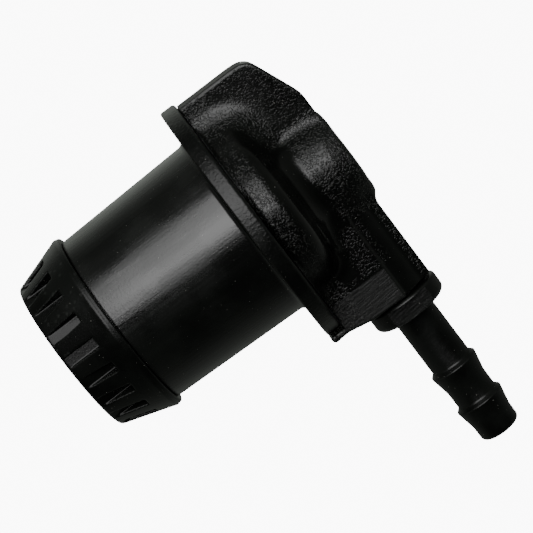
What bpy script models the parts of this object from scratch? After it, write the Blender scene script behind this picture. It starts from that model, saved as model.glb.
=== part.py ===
"""Fuel tank vent valve with a float, a pressure relief disc and a barbed hose outlet.

The valve hangs in the top of a fuel tank by its round flange. Vapour enters through the slotted end cap,
passes the float, the vent seat and the relief disc, and leaves through the duct of the head cover and the
barbed nipple. Rising fuel lifts the float, whose rubber pad closes the vent seat from below.

Frame: metres, +Z up along the valve axis, origin at the centre of the end cap's flat underside, and +X
towards the outlet. Sizes below are in millimetres.
"""
import math

import bmesh
import bpy
from mathutils import Matrix, Vector

MM = 0.001
GAP = 0.3                 # clearance between pieces that touch
SEGMENTS = 40             # facets round the body, two for each slot of the end cap
FINE = 24                 # facets round the outlet and the float
SMALL = 16                # facets round the pieces of the relief valve
OVERSHOOT = 1.0           # how far a cutter runs past the face it opens
ROOT = 2.0                # how far the head's solids run below its base before the base is cut flat
EDGE_BREAK = 0.3          # small rounding of an outside edge

# End cap
CAP_HEIGHT = 11.2
CAP_BOTTOM_R = 15.1
CAP_FOOT_ROUND = 0.8
CAP_SHOULDER_R = 18.45
CAP_SHOULDER_ROUND = 0.6
CAP_TOP_R = 18.1
CAP_LIP = 1.2             # height of the upright lip above the cone
CAP_FLOOR = 1.8
CAP_BORE_R = 12.9
CAP_CORNER = 0.6          # rounding inside, at the foot of the bore and of the post
SLOT_COUNT = 20
SLOT_WIDTH = 2.1
SLOT_TOP = 6.9
SLOT_FLOOR_R = 15.2
SLOT_PHASE = math.radians(-6.25)     # from -Y towards +X
SOCKET_DEPTH = 3.3
SNAP_HEIGHT = 0.25
SNAP_FLAT = 0.5           # length of the flat on the snap bead
SNAP_RAMP = 0.3           # length of each ramp of the bead
INLET_COUNT = 8
INLET_INNER_R = 5.6
INLET_OUTER_R = 11.4
INLET_SPOKE = 2.2
PASSAGE_R = 1.2
PASSAGE_LIFT = 1.4        # height of a passage above the cap's floor
POST_R = 3.2
POST_HEIGHT = 7.7
POST_CHAMFER = 0.7

# Housing
BODY_LENGTH = 27.5        # from the cap to the flange
BODY_LOW_R = 17.2
BODY_HIGH_R = 18.05
SPIGOT_R = 16.1
SPIGOT_WALL = 1.2
BORE_HIGH_R = 15.9
BORE_CORNER = 1.0
FLANGE_R = 24.85
FLANGE_THICK = 3.1
FLANGE_KEY_X = 23.8       # flat on the flange that the cover's skirt hooks over
FLANGE_FILLET = 1.1
TOP_WALL = 2.6
RIB_COUNT = 6
RIB_WIDTH = 1.6
RIB_R = 14.3
RIB_END = 1.4             # the ribs stop this far below the bore's ceiling

# Vent seat and its sealing ring
SEAT_R = 9.0
SEAT_FLANGE_R = 10.3
SEAT_FLANGE_THICK = 1.3
SEAT_BODY_DEPTH = 3.9
PORT_R = 3.5
LIP_R = 4.6
LIP_WIDTH = 0.8
LIP_HEIGHT = 0.5
LIP_CREST = 0.2
SEAT_RING_SECTION = 0.4
RING_BACKING = 0.1        # a ring stands this much prouder of its groove than its clearance

# Float
FLOAT_R = 13.9
FLOAT_WALL = 1.2
FLOAT_TUBE_R = 6.0
FLOAT_TUBE_CLEAR = 2.0    # the float's tube stops this far above the cap's post
FLOAT_CHAMFER = 3.5
FLOAT_TRAVEL = 5.0
PAD_R = 8.4
PAD_THICK = 1.4
PAD_ROUND = 0.3
PAD_SEAT = 0.6            # how far the float's flat top runs past the pad
NECK_R = 1.6
NECK_GROOVE = 0.3
CLIP_R = 2.6
CLIP_THICK = 0.6
FLOAT_SPRING_R = 4.6
FLOAT_WIRE_R = 0.3
FLOAT_COILS = 7

# Relief valve
RELIEF_R = 6.0
RELIEF_SEAL_THICK = 0.9
RELIEF_DISC_THICK = 1.2
RELIEF_STEM_R = 1.5
RELIEF_STEM_LENGTH = 6.7
STEM_CHAMFER = 0.5
GUIDE_R = 2.8
GUIDE_LOW_GAP = 4.3       # free height between the closed disc and the guide
GUIDE_FLANGE_THICK = 1.2
CHAMBER_R = 7.0
RELIEF_SPRING_R = 4.0
RELIEF_WIRE_R = 0.35
RELIEF_COILS = 6
HUB_R = 2.9
HUB_LIFT = 0.4            # the hub ends this far above the seal's face
UMBRELLA_R = 2.5
UMBRELLA_THICK = 0.35
UMBRELLA_BOSS_THICK = 0.9
UMBRELLA_STEM_R = 0.6
UMBRELLA_STEM_RISE = 0.9  # how far the stem runs above the disc
POCKET_RISE = 1.2
BREATHER_COUNT = 6
BREATHER_HOLE_R = 0.3
BREATHER_CIRCLE_R = 2.0

# Head cover; heights are above its base
BELL_R = 20.9
BELL_WAIST_R = 20.45
BELL_WAIST_HEIGHT = 3.4
BELL_SHOULDER_R = 19.3
BELL_SHOULDER_HEIGHT = 6.2
BELL_SLOPE_R = 15.2
BELL_SLOPE_HEIGHT = 9.1
BELL_HEIGHT = 11.5
BELL_ROUNDS = (8.0, 3.0, 20.0)       # radii at the waist, the shoulder and the slope
BELL_SEAT_WIDTH = 3.2     # ring face of the bell's foot, over the sealing ring
BELL_WALL = 2.6
BOSS_OFFSET = 1.1
BOSS_R = 9.4
BOSS_FLARE = 1.6
BOSS_TOP_R = 8.9
BOSS_HEIGHT = 7.6         # above the bell
BOSS_ROOF = 2.0
BOSS_EDGE = 1.8
CROWN_R = 4.9
CROWN_RISE = 0.3
WEB_HALF = 4.3
WEB_END_X = -23.9
WEB_HEIGHT = 18.8
WEB_CORNER = 4.0
SLOPE_START_X = -13.2
SLOPE_ROUND = 5.0
SLOPE_ANGLE = math.radians(20.0)
BLOCK_HALF = 7.3
BLOCK_START_X = 8.0
BLOCK_END_X = 26.8
BLOCK_KNEE_HEIGHT = 5.2   # the end is upright above the knee and drafted below it
BLOCK_KNEE_ROUND = 2.0
BLOCK_DRAFT = 1.1
BLOCK_HEIGHT = 11.9
PAD_LENGTH = 6.1
PAD_INSET = 0.7
PAD_FOOT = 1.1
PAD_RELIEF = 0.25
RIDGE_HEIGHT = 18.0
SKIRT_DEPTH = 3.1
SKIRT_THICK = 1.2
SKIRT_RISE = 1.5          # how far the skirt's root runs up into the block
EDGE_ROUND = 0.6
COVER_RING_R = 19.2
COVER_RING_SECTION = 0.75

# Outlet
OUTLET_HEIGHT = 11.4      # above the head's base
OUTLET_BORE_R = 2.5
HOSE_R = 4.0
BARB_R = 4.75
BARB_COUNT = 2
BARB_PITCH = 8.0
BARB_LENGTH = 3.9
BARB_FACE = 0.9           # length of the steep face behind a barb's crest
FIRST_BARB = 12.6         # from the collar's end
TAIL_LENGTH = 27.7
TAIL_ROUND = 1.0
COLLAR_R = 7.25
COLLAR_LENGTH = 3.9
COLLAR_ROUND = 1.3
COLLAR_FACE_ROUND = 0.7
COLLAR_RIM = 0.5          # the flats stop this far from the collar's face
COLLAR_FLAT = 5.95
PLUG_R = 4.9
PLUG_LENGTH = 9.4
PLUG_CHAMFER = 0.5
PLUG_RING_PLACE = 5.6     # from the collar's face to the middle of the ring
OUTLET_RING_SECTION = 0.55
DUCT_R = 6.4
DUCT_BORE_R = 3.8

# Worked out from the sizes above
SOCKET_R = SPIGOT_R + GAP
SOCKET_Z = CAP_HEIGHT - SOCKET_DEPTH
SNAP_Z = CAP_HEIGHT - SOCKET_DEPTH / 2
POST_TOP = CAP_FLOOR + POST_HEIGHT
BODY_LOW = CAP_HEIGHT + GAP
FLANGE_LOW = BODY_LOW + BODY_LENGTH
FLANGE_TOP = FLANGE_LOW + FLANGE_THICK
SPIGOT_LOW = SOCKET_Z + GAP
BORE_LOW_R = SPIGOT_R - SPIGOT_WALL
CEILING_Z = FLANGE_TOP - TOP_WALL
COVER_LOW = FLANGE_TOP + GAP
SEAT_TOP = FLANGE_TOP
SEAT_STEP_Z = SEAT_TOP - SEAT_FLANGE_THICK
SEAT_LOW = SEAT_TOP - SEAT_BODY_DEPTH
LIP_LOW = SEAT_LOW - LIP_HEIGHT
LIP_TOP = SEAT_TOP + LIP_HEIGHT
PAD_TOP = LIP_LOW - FLOAT_TRAVEL - GAP
PAD_LOW = PAD_TOP - PAD_THICK
CLIP_LOW = PAD_TOP + GAP
CLIP_TOP = CLIP_LOW + CLIP_THICK
FLOAT_TOP = PAD_LOW - GAP
FLOAT_LOW = SOCKET_Z + GAP
CEILING_INSIDE = FLOAT_TOP - FLOAT_WALL
RELIEF_SEAL_LOW = LIP_TOP + GAP
RELIEF_DISC_LOW = RELIEF_SEAL_LOW + RELIEF_SEAL_THICK + GAP
RELIEF_DISC_TOP = RELIEF_DISC_LOW + RELIEF_DISC_THICK
RELIEF_STEM_TOP = RELIEF_DISC_TOP + RELIEF_STEM_LENGTH
HUB_LOW = RELIEF_SEAL_LOW + HUB_LIFT
BELL_TOP = COVER_LOW + BELL_HEIGHT
BOSS_TOP = BELL_TOP + BOSS_HEIGHT
CHAMBER_TOP = BOSS_TOP - BOSS_ROOF
GUIDE_TOP = CHAMBER_TOP - GAP
GUIDE_LOW = RELIEF_DISC_TOP + GUIDE_LOW_GAP
GUIDE_FLANGE_LOW = GUIDE_TOP - GUIDE_FLANGE_THICK
WEB_TOP = COVER_LOW + WEB_HEIGHT
RIDGE_TOP = COVER_LOW + RIDGE_HEIGHT
BLOCK_TOP = COVER_LOW + BLOCK_HEIGHT
BLOCK_KNEE_Z = COVER_LOW + BLOCK_KNEE_HEIGHT
BLOCK_FOOT_X = BLOCK_END_X - BLOCK_DRAFT
FLANK = BLOCK_HALF - PAD_RELIEF
OUTLET_Z = COVER_LOW + OUTLET_HEIGHT
COLLAR_X = BLOCK_END_X + GAP
COLLAR_END = COLLAR_X + COLLAR_LENGTH
PLUG_START = COLLAR_X - PLUG_LENGTH
TIP_X = COLLAR_END + TAIL_LENGTH
BLOCK_SOCKET_R = PLUG_R + GAP

# Colours and finishes: base colour, roughness, metallic
FINISHES = {
    "satin_black": ((0.012, 0.013, 0.013, 1.0), 0.42, 0.0),
    "textured_black": ((0.014, 0.014, 0.014, 1.0), 0.55, 0.0),
    "smooth_black": ((0.010, 0.010, 0.011, 1.0), 0.3, 0.0),
    "natural_acetal": ((0.75, 0.74, 0.70, 1.0), 0.45, 0.0),
    "rubber": ((0.02, 0.02, 0.022, 1.0), 0.7, 0.0),
    "seal_brown": ((0.10, 0.035, 0.02, 1.0), 0.6, 0.0),
    "spring_steel": ((0.60, 0.60, 0.58, 1.0), 0.28, 1.0),
}


def finish(name):
    """The named material, made once."""
    if name in bpy.data.materials:
        return bpy.data.materials[name]
    colour, roughness, metallic = FINISHES[name]
    material = bpy.data.materials.new(name)
    material.use_nodes = True
    shader = material.node_tree.nodes["Principled BSDF"]
    shader.inputs["Base Color"].default_value = colour
    shader.inputs["Roughness"].default_value = roughness
    shader.inputs["Metallic"].default_value = metallic
    material.diffuse_color = colour
    return material


def to_object(name, mesh_edit):
    """A scene object that holds an edited mesh, with its faces pointing out."""
    bmesh.ops.remove_doubles(mesh_edit, verts=mesh_edit.verts, dist=0.002 * MM)
    bmesh.ops.recalc_face_normals(mesh_edit, faces=mesh_edit.faces)
    mesh = bpy.data.meshes.new(name)
    mesh_edit.to_mesh(mesh)
    mesh_edit.free()
    obj = bpy.data.objects.new(name, mesh)
    bpy.context.scene.collection.objects.link(obj)
    return obj


def arc(centre, radius, start, end, steps):
    """Points on an arc in a plane, from one angle to another in degrees."""
    turn = [math.radians(start + (end - start) * k / steps) for k in range(steps + 1)]
    return [(centre[0] + radius * math.cos(a), centre[1] + radius * math.sin(a)) for a in turn]


def rounded(corners, steps=4):
    """An outline whose corners (x, y, radius) are replaced by tangent arcs."""
    points = []
    count = len(corners)
    for k, (x, y, radius) in enumerate(corners):
        here = Vector((x, y))
        if radius <= 0:
            points.append((x, y))
            continue
        before = (Vector(corners[k - 1][:2]) - here).normalized()
        after = (Vector(corners[(k + 1) % count][:2]) - here).normalized()
        half = before.angle(after) / 2
        reach = radius / math.tan(half)
        middle = here + (before + after).normalized() * radius / math.sin(half)
        first, last = here + before * reach - middle, here + after * reach - middle
        sweep = first.angle_signed(last)
        for step in range(steps + 1):
            turned = first.copy()
            turned.rotate(Matrix.Rotation(-sweep * step / steps, 2))
            points.append(tuple(middle + turned))
    return points


def revolve(name, outline, axis="Z", centre=(0.0, 0.0, 0.0), segments=SEGMENTS, closed=True):
    """Spin an outline of (radius, height) points round an axis through a centre."""
    mesh_edit = bmesh.new()
    along = Vector((0, 0, 1)) if axis == "Z" else Vector((1, 0, 0))
    out = Vector((1, 0, 0)) if axis == "Z" else Vector((0, 0, 1))
    origin = Vector(centre) * MM
    verts = [mesh_edit.verts.new(origin + out * r * MM + along * h * MM) for r, h in outline]
    edges = [mesh_edit.edges.new(pair) for pair in zip(verts, verts[1:])]
    if closed:
        edges.append(mesh_edit.edges.new((verts[-1], verts[0])))
    bmesh.ops.spin(mesh_edit, geom=verts + edges, cent=origin, axis=along, angle=math.tau,
                   steps=segments, use_merge=True)
    return to_object(name, mesh_edit)


def extrude(name, outline, plane, low, high):
    """Extrude an outline drawn in the XY, XZ or YZ plane between two levels of the third axis."""
    place = {"XY": lambda u, v, w: (u, v, w), "XZ": lambda u, v, w: (u, w, v),
             "YZ": lambda u, v, w: (w, u, v)}[plane]
    mesh_edit = bmesh.new()
    verts = [mesh_edit.verts.new(Vector(place(u, v, low)) * MM) for u, v in outline]
    face = mesh_edit.faces.new(verts)
    grown = bmesh.ops.extrude_face_region(mesh_edit, geom=[face])
    moved = [item for item in grown["geom"] if isinstance(item, bmesh.types.BMVert)]
    bmesh.ops.translate(mesh_edit, verts=moved, vec=Vector(place(0, 0, high - low)) * MM)
    return to_object(name, mesh_edit)


def box(name, low, high):
    """A box between two corners."""
    outline = [(low[0], low[1]), (high[0], low[1]), (high[0], high[1]), (low[0], high[1])]
    return extrude(name, outline, "XY", low[2], high[2])


def rod(name, radius, low, high, axis="Z", centre=(0.0, 0.0, 0.0), segments=SMALL):
    """A plain round rod along an axis."""
    return revolve(name, [(0, low), (radius, low), (radius, high), (0, high)], axis, centre, segments, False)


def ring(name, radius, section, axis="Z", centre=(0.0, 0.0, 0.0), segments=SEGMENTS, sides=6):
    """A ring of round section, as an O-ring is."""
    outline = [(radius + x, y) for x, y in arc((0, 0), section, 0, 360, sides)[:-1]]
    return revolve(name, outline, axis, centre, segments)


def combine(target, tool, operation):
    """Apply a Boolean of two solids to the first and remove the second."""
    modifier = target.modifiers.new(operation, "BOOLEAN")
    modifier.operation = operation
    modifier.object = tool
    modifier.solver = "EXACT"
    evaluated = target.evaluated_get(bpy.context.evaluated_depsgraph_get())
    mesh = bpy.data.meshes.new_from_object(evaluated)
    target.modifiers.clear()
    target.data = mesh
    bpy.data.objects.remove(tool)
    return target


def cut(target, tool):
    """Take the tool's shape out of the target."""
    return combine(target, tool, "DIFFERENCE")


def join(target, tool):
    """Add the tool's shape to the target."""
    return combine(target, tool, "UNION")


def round_pattern(name, maker, count, phase=0.0):
    """Copies of one solid, set evenly round the valve axis, as one cutter."""
    mesh_edit = bmesh.new()
    first = maker()
    for k in range(count):
        step = bmesh.new()
        step.from_mesh(first.data)
        bmesh.ops.rotate(step, verts=step.verts, cent=(0, 0, 0),
                         matrix=Matrix.Rotation(phase + math.tau * k / count, 3, "Z"))
        scratch = bpy.data.meshes.new("pattern_step")
        step.to_mesh(scratch)
        step.free()
        mesh_edit.from_mesh(scratch)
        bpy.data.meshes.remove(scratch)
    bpy.data.objects.remove(first)
    return to_object(name, mesh_edit)


def dress(obj, finish_name, carrier=None, smooth_angle=32.0):
    """Give a finished piece its material and shading, and hang it on its moving carriage if it has one."""
    obj.data.materials.clear()
    obj.data.materials.append(finish(finish_name))
    obj.data.shade_smooth()
    obj.data.set_sharp_from_angle(angle=math.radians(smooth_angle))
    if carrier is not None:
        obj.data.transform(Matrix.Translation(-carrier.location))
        obj.parent = carrier
    return obj


def carriage(name, height):
    """An empty on the valve axis that carries the pieces of one sliding group."""
    empty = bpy.data.objects.new(name, None)
    empty.location = Vector((0, 0, height)) * MM
    empty.empty_display_size = 5 * MM
    bpy.context.scene.collection.objects.link(empty)
    return empty


def coil_height(turn, coils, low, high, dead):
    """Height of a spring's wire after so many turns; the first and the last turn are closed."""
    if turn <= 1:
        return low + dead * turn
    if turn >= coils + 1:
        return high - dead * (coils + 2 - turn)
    return low + dead + (high - low - 2 * dead) * (turn - 1) / coils


def spring(name, radius, wire, coils, low, high, steps=10, sides=4):
    """A compression spring with one closed coil at each end, as a swept round wire."""
    dead = 2.2 * wire
    mesh_edit = bmesh.new()
    loops = []
    for k in range((coils + 2) * steps + 1):
        angle = math.tau * k / steps
        out = Vector((math.cos(angle), math.sin(angle), 0))
        middle = out * radius
        middle.z = coil_height(k / steps, coils, low + wire, high - wire, dead)
        loop = []
        for across, up in arc((0, 0), wire, 0, 360, sides)[:-1]:
            loop.append(mesh_edit.verts.new((middle + out * across + Vector((0, 0, up))) * MM))
        loops.append(loop)
    for first, second in zip(loops, loops[1:]):
        for s in range(sides):
            after = (s + 1) % sides
            mesh_edit.faces.new((first[s], first[after], second[after], second[s]))
    mesh_edit.faces.new(loops[0])
    mesh_edit.faces.new(loops[-1])
    return to_object(name, mesh_edit)


def snap_profile(radius, extra):
    """The snap bead, or the groove round it when extra is more than 0, from top to bottom."""
    flat, ramp = SNAP_FLAT / 2 + extra, SNAP_RAMP + extra / 2
    return [(radius, SNAP_Z + flat + ramp, 0), (radius + SNAP_HEIGHT, SNAP_Z + flat, 0),
            (radius + SNAP_HEIGHT, SNAP_Z - flat, 0), (radius, SNAP_Z - flat - ramp, 0)]


def cap_outline():
    """Half section of the end cap, from the middle of its underside round to the top of its post."""
    corners = [(0, 0, 0), (CAP_BOTTOM_R, 0, CAP_FOOT_ROUND)]
    corners += [(CAP_SHOULDER_R, CAP_HEIGHT - CAP_LIP, CAP_SHOULDER_ROUND)]
    corners += [(CAP_TOP_R, CAP_HEIGHT, EDGE_BREAK), (SOCKET_R, CAP_HEIGHT, 0)]
    corners += snap_profile(SOCKET_R, GAP / 2) + [(SOCKET_R, SOCKET_Z, 0)]
    corners += [(CAP_BORE_R, SOCKET_Z, 0), (CAP_BORE_R, CAP_FLOOR, CAP_CORNER)]
    corners += [(POST_R, CAP_FLOOR, CAP_CORNER), (POST_R, POST_TOP - POST_CHAMFER, 0)]
    corners += [(POST_R - POST_CHAMFER, POST_TOP, 0), (0, POST_TOP, 0)]
    return rounded(corners, 2)


def slot():
    """One slot of the cone, on the +X side."""
    low = (SLOT_FLOOR_R, -SLOT_WIDTH / 2, -OVERSHOOT)
    return box("slot", low, (CAP_SHOULDER_R + OVERSHOOT, SLOT_WIDTH / 2, SLOT_TOP))


def inlet():
    """One inlet window in the cap's floor, between two spokes."""
    spread = 180 / INLET_COUNT
    inner = math.degrees(INLET_SPOKE / 2 / INLET_INNER_R)
    outer = math.degrees(INLET_SPOKE / 2 / INLET_OUTER_R)
    outline = arc((0, 0), INLET_OUTER_R, outer - spread, spread - outer, 4)
    outline += arc((0, 0), INLET_INNER_R, spread - inner, inner - spread, 2)
    return extrude("inlet", outline, "XY", -OVERSHOOT, CAP_FLOOR + OVERSHOOT)


def passage():
    """One vertical passage in the corner between the cap's bore and its socket."""
    low, corner = CAP_FLOOR + PASSAGE_LIFT, (CAP_BORE_R + PASSAGE_R / 2, 0, 0)
    return rod("passage", PASSAGE_R, low, SOCKET_Z + OVERSHOOT, centre=corner, segments=8)


def make_end_cap():
    """Slotted end cap: cone, snap socket, inlets in the floor and the float spring's post."""
    cap = revolve("slotted_end_cap", cap_outline(), closed=False)
    cut(cap, round_pattern("slots", slot, SLOT_COUNT, SLOT_PHASE - math.pi / 2))
    cut(cap, round_pattern("passages", passage, INLET_COUNT, math.pi / INLET_COUNT))
    cut(cap, round_pattern("inlets", inlet, INLET_COUNT))
    return dress(cap, "satin_black")


def housing_outline():
    """Half section of the housing: spigot, tapered body, flange, ring groove, seat pocket and bore."""
    groove = COVER_RING_SECTION + GAP
    groove_floor = FLANGE_TOP - 2 * COVER_RING_SECTION - GAP - RING_BACKING
    pocket = SEAT_STEP_Z - GAP
    corners = [(BORE_LOW_R, SPIGOT_LOW, 0), (SPIGOT_R, SPIGOT_LOW, EDGE_BREAK)]
    corners += snap_profile(SPIGOT_R, 0)[::-1] + [(SPIGOT_R, BODY_LOW, 0), (BODY_LOW_R, BODY_LOW, EDGE_BREAK)]
    corners += [(BODY_HIGH_R, FLANGE_LOW, FLANGE_FILLET), (FLANGE_R, FLANGE_LOW, EDGE_BREAK)]
    corners += [(FLANGE_R, FLANGE_TOP, EDGE_BREAK), (COVER_RING_R + groove, FLANGE_TOP, 0)]
    corners += [(COVER_RING_R + groove, groove_floor, 0), (COVER_RING_R - groove, groove_floor, 0)]
    corners += [(COVER_RING_R - groove, FLANGE_TOP, 0), (SEAT_FLANGE_R + GAP, FLANGE_TOP, 0)]
    corners += [(SEAT_FLANGE_R + GAP, pocket, 0), (SEAT_R + GAP, pocket, 0), (SEAT_R + GAP, CEILING_Z, 0)]
    corners += [(BORE_HIGH_R, CEILING_Z, BORE_CORNER)]
    return rounded(corners, 2)


def rib():
    """One rib inside the bore that guides the float, on the +X side."""
    reach = (BODY_LOW_R + BORE_HIGH_R) / 2
    return box("rib", (RIB_R, -RIB_WIDTH / 2, BODY_LOW), (reach, RIB_WIDTH / 2, CEILING_Z - RIB_END))


def make_housing():
    """Float housing with its flange, seat pocket, ring groove, snap bead and guide ribs."""
    housing = revolve("float_housing", housing_outline())
    join(housing, round_pattern("ribs", rib, RIB_COUNT))
    low = (FLANGE_KEY_X, -FLANGE_R, FLANGE_LOW - OVERSHOOT)
    cut(housing, box("key", low, (FLANGE_R + OVERSHOOT, FLANGE_R, FLANGE_TOP + OVERSHOOT)))
    return dress(housing, "satin_black")


def web_outline():
    """Side view of the tall web at the left of the head."""
    corner_z = WEB_TOP - (SLOPE_START_X - WEB_END_X) * math.tan(SLOPE_ANGLE)
    low = COVER_LOW - ROOT
    corners = [(WEB_END_X, low, 0), (BOSS_OFFSET, low, 0), (BOSS_OFFSET, WEB_TOP, 0)]
    corners += [(SLOPE_START_X, WEB_TOP, SLOPE_ROUND), (WEB_END_X, corner_z, WEB_CORNER)]
    return rounded(corners, 4)


def soften(obj, width=EDGE_ROUND, segments=2):
    """Round the sharp edges of a simple solid."""
    modifier = obj.modifiers.new("edge", "BEVEL")
    modifier.width = width * MM
    modifier.segments = segments
    modifier.limit_method = "ANGLE"
    modifier.angle_limit = math.radians(50)
    evaluated = obj.evaluated_get(bpy.context.evaluated_depsgraph_get())
    mesh = bpy.data.meshes.new_from_object(evaluated)
    obj.modifiers.clear()
    obj.data = mesh
    return obj


def head_bell():
    """The bell over the flange, with its soft shoulder and the slope up to the boss."""
    waist, shoulder, slope = BELL_ROUNDS
    corners = [(0, COVER_LOW - ROOT, 0), (BELL_R, COVER_LOW - ROOT, 0), (BELL_R, COVER_LOW, 0)]
    corners += [(BELL_WAIST_R, COVER_LOW + BELL_WAIST_HEIGHT, waist)]
    corners += [(BELL_SHOULDER_R, COVER_LOW + BELL_SHOULDER_HEIGHT, shoulder)]
    corners += [(BELL_SLOPE_R, COVER_LOW + BELL_SLOPE_HEIGHT, slope), (BOSS_R, BELL_TOP, 0), (0, BELL_TOP, 0)]
    return revolve("head_cover", rounded(corners, 2), closed=False)


def head_boss():
    """The round boss over the relief valve, with a flared foot, a rounded edge and a low crown."""
    foot = BELL_TOP - BOSS_FLARE
    corners = [(0, foot - BOSS_FLARE, 0), (BOSS_R + BOSS_FLARE, foot - BOSS_FLARE, 0)]
    corners += [(BOSS_R + BOSS_FLARE, foot, 0), (BOSS_R, BELL_TOP + BOSS_FLARE, BOSS_FLARE)]
    corners += [(BOSS_TOP_R, BOSS_TOP, BOSS_EDGE), (CROWN_R + CROWN_RISE, BOSS_TOP, 0)]
    corners += [(CROWN_R, BOSS_TOP + CROWN_RISE, 0), (0, BOSS_TOP + CROWN_RISE, 0)]
    return revolve("boss", rounded(corners, 3), centre=(BOSS_OFFSET, 0, 0), closed=False)


def head_block():
    """The block that carries the outlet, with a drafted end and a smooth proud pad on each flank."""
    outline = rounded([(BLOCK_START_X, COVER_LOW - ROOT, 0), (BLOCK_FOOT_X, COVER_LOW - ROOT, 0),
                       (BLOCK_END_X, BLOCK_KNEE_Z, BLOCK_KNEE_ROUND), (BLOCK_END_X, BLOCK_TOP, 0),
                       (BLOCK_START_X, BLOCK_TOP, 0)], 3)
    block = soften(extrude("block", outline, "XZ", -FLANK, FLANK), EDGE_BREAK, 1)
    right, low, high = BLOCK_END_X - PAD_INSET, COVER_LOW + PAD_FOOT, BLOCK_TOP - PAD_RELIEF
    pad = [(right - PAD_LENGTH, low), (BLOCK_FOOT_X - PAD_INSET, low), (right, BLOCK_KNEE_Z), (right, high),
           (right - PAD_LENGTH, high)]
    return join(block, extrude("pad", pad, "XZ", -BLOCK_HALF, BLOCK_HALF))


def head_duct():
    """The round back of the outlet duct and the narrow ridge on top of it."""
    end = BLOCK_END_X - EDGE_BREAK / 2
    duct = rod("duct", DUCT_R, BOSS_OFFSET, end, "X", (0, 0, OUTLET_Z), FINE)
    low = OUTLET_Z + OVERSHOOT
    outline = [(-WEB_HALF, low), (WEB_HALF, low), (WEB_HALF, RIDGE_TOP), (-WEB_HALF, RIDGE_TOP)]
    ridge = extrude("ridge", outline, "YZ", BOSS_OFFSET + OVERSHOOT, end - EDGE_BREAK / 2)
    return join(duct, soften(ridge, EDGE_BREAK, 1))


def head_skirt():
    """The skirt under the block, which hooks over the flat on the flange."""
    inner, low = FLANGE_KEY_X + GAP, COVER_LOW - GAP - SKIRT_DEPTH
    outer = BLOCK_FOOT_X - PAD_RELIEF
    corners = [(inner, low, EDGE_BREAK), (inner + SKIRT_THICK, low, EDGE_ROUND), (outer, COVER_LOW, 0)]
    corners += [(outer, COVER_LOW + SKIRT_RISE, 0), (inner, COVER_LOW + SKIRT_RISE, 0)]
    width = FLANK - PAD_RELIEF / 2
    return extrude("skirt", rounded(corners, 3), "XZ", -width, width)


def head_hollows():
    """The hollows of the head: bell chamber, relief chamber, duct bore and nipple socket."""
    wall_r, low = BELL_R - BELL_SEAT_WIDTH, COVER_LOW - OVERSHOOT
    chamber = [(0, low), (wall_r, low), (wall_r, COVER_LOW + BELL_SEAT_WIDTH)]
    chamber += [(BELL_SLOPE_R - BELL_WALL / 2, COVER_LOW + BELL_SLOPE_HEIGHT - BELL_WALL)]
    chamber += [(CHAMBER_R, BELL_TOP - BELL_WALL), (CHAMBER_R, CHAMBER_TOP), (0, CHAMBER_TOP)]
    hollow = revolve("chamber", chamber, closed=False)
    socket_x, end = PLUG_START - GAP, BLOCK_END_X + OVERSHOOT
    bore = [(0, OVERSHOOT), (DUCT_BORE_R, OVERSHOOT), (DUCT_BORE_R, socket_x), (BLOCK_SOCKET_R, socket_x)]
    bore += [(BLOCK_SOCKET_R, end), (0, end)]
    return join(hollow, revolve("bore", bore, "X", (0, 0, OUTLET_Z), FINE, False))


def make_head_cover():
    """Head cover: bell, boss, web, outlet block, duct, ridge and skirt in one hollow moulding."""
    cover = head_bell()
    join(cover, soften(extrude("web", web_outline(), "XZ", -WEB_HALF, WEB_HALF)))
    join(cover, head_block())
    join(cover, head_duct())
    join(cover, head_boss())
    reach, low = 2 * BELL_R, COVER_LOW - ROOT - OVERSHOOT
    cut(cover, box("base", (-reach, -reach, low), (reach, reach, COVER_LOW)))
    join(cover, head_skirt())
    cut(cover, head_hollows())
    return dress(cover, "textured_black")


def nipple_outline():
    """Section of the nipple along X: grooved plug, collar, hose tail with its barbs and a rounded tip."""
    ring_x = COLLAR_X - PLUG_RING_PLACE
    half = OUTLET_RING_SECTION + GAP
    groove_r = PLUG_R - 2 * OUTLET_RING_SECTION - GAP
    corners = [(OUTLET_BORE_R, PLUG_START, 0), (PLUG_R - PLUG_CHAMFER, PLUG_START, 0)]
    corners += [(PLUG_R, PLUG_START + PLUG_CHAMFER, 0), (PLUG_R, ring_x - half, 0)]
    corners += [(groove_r, ring_x - half, 0), (groove_r, ring_x + half, 0)]
    corners += [(PLUG_R, ring_x + half, 0), (PLUG_R, COLLAR_X, 0)]
    corners += [(COLLAR_R, COLLAR_X, COLLAR_FACE_ROUND), (COLLAR_R, COLLAR_END, COLLAR_ROUND)]
    corners += [(HOSE_R, COLLAR_END, PLUG_CHAMFER)]
    for k in range(BARB_COUNT):
        crest = COLLAR_END + FIRST_BARB + BARB_PITCH * k
        corners += [(HOSE_R, crest - BARB_FACE, 0), (BARB_R, crest, EDGE_BREAK / 2)]
        corners += [(HOSE_R + RING_BACKING / 2, crest + BARB_LENGTH, 0)]
    corners += [(HOSE_R, TIP_X, TAIL_ROUND), (OUTLET_BORE_R + EDGE_BREAK, TIP_X, 0)]
    return rounded(corners + [(OUTLET_BORE_R, TIP_X - EDGE_BREAK, 0)], 2)


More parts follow.
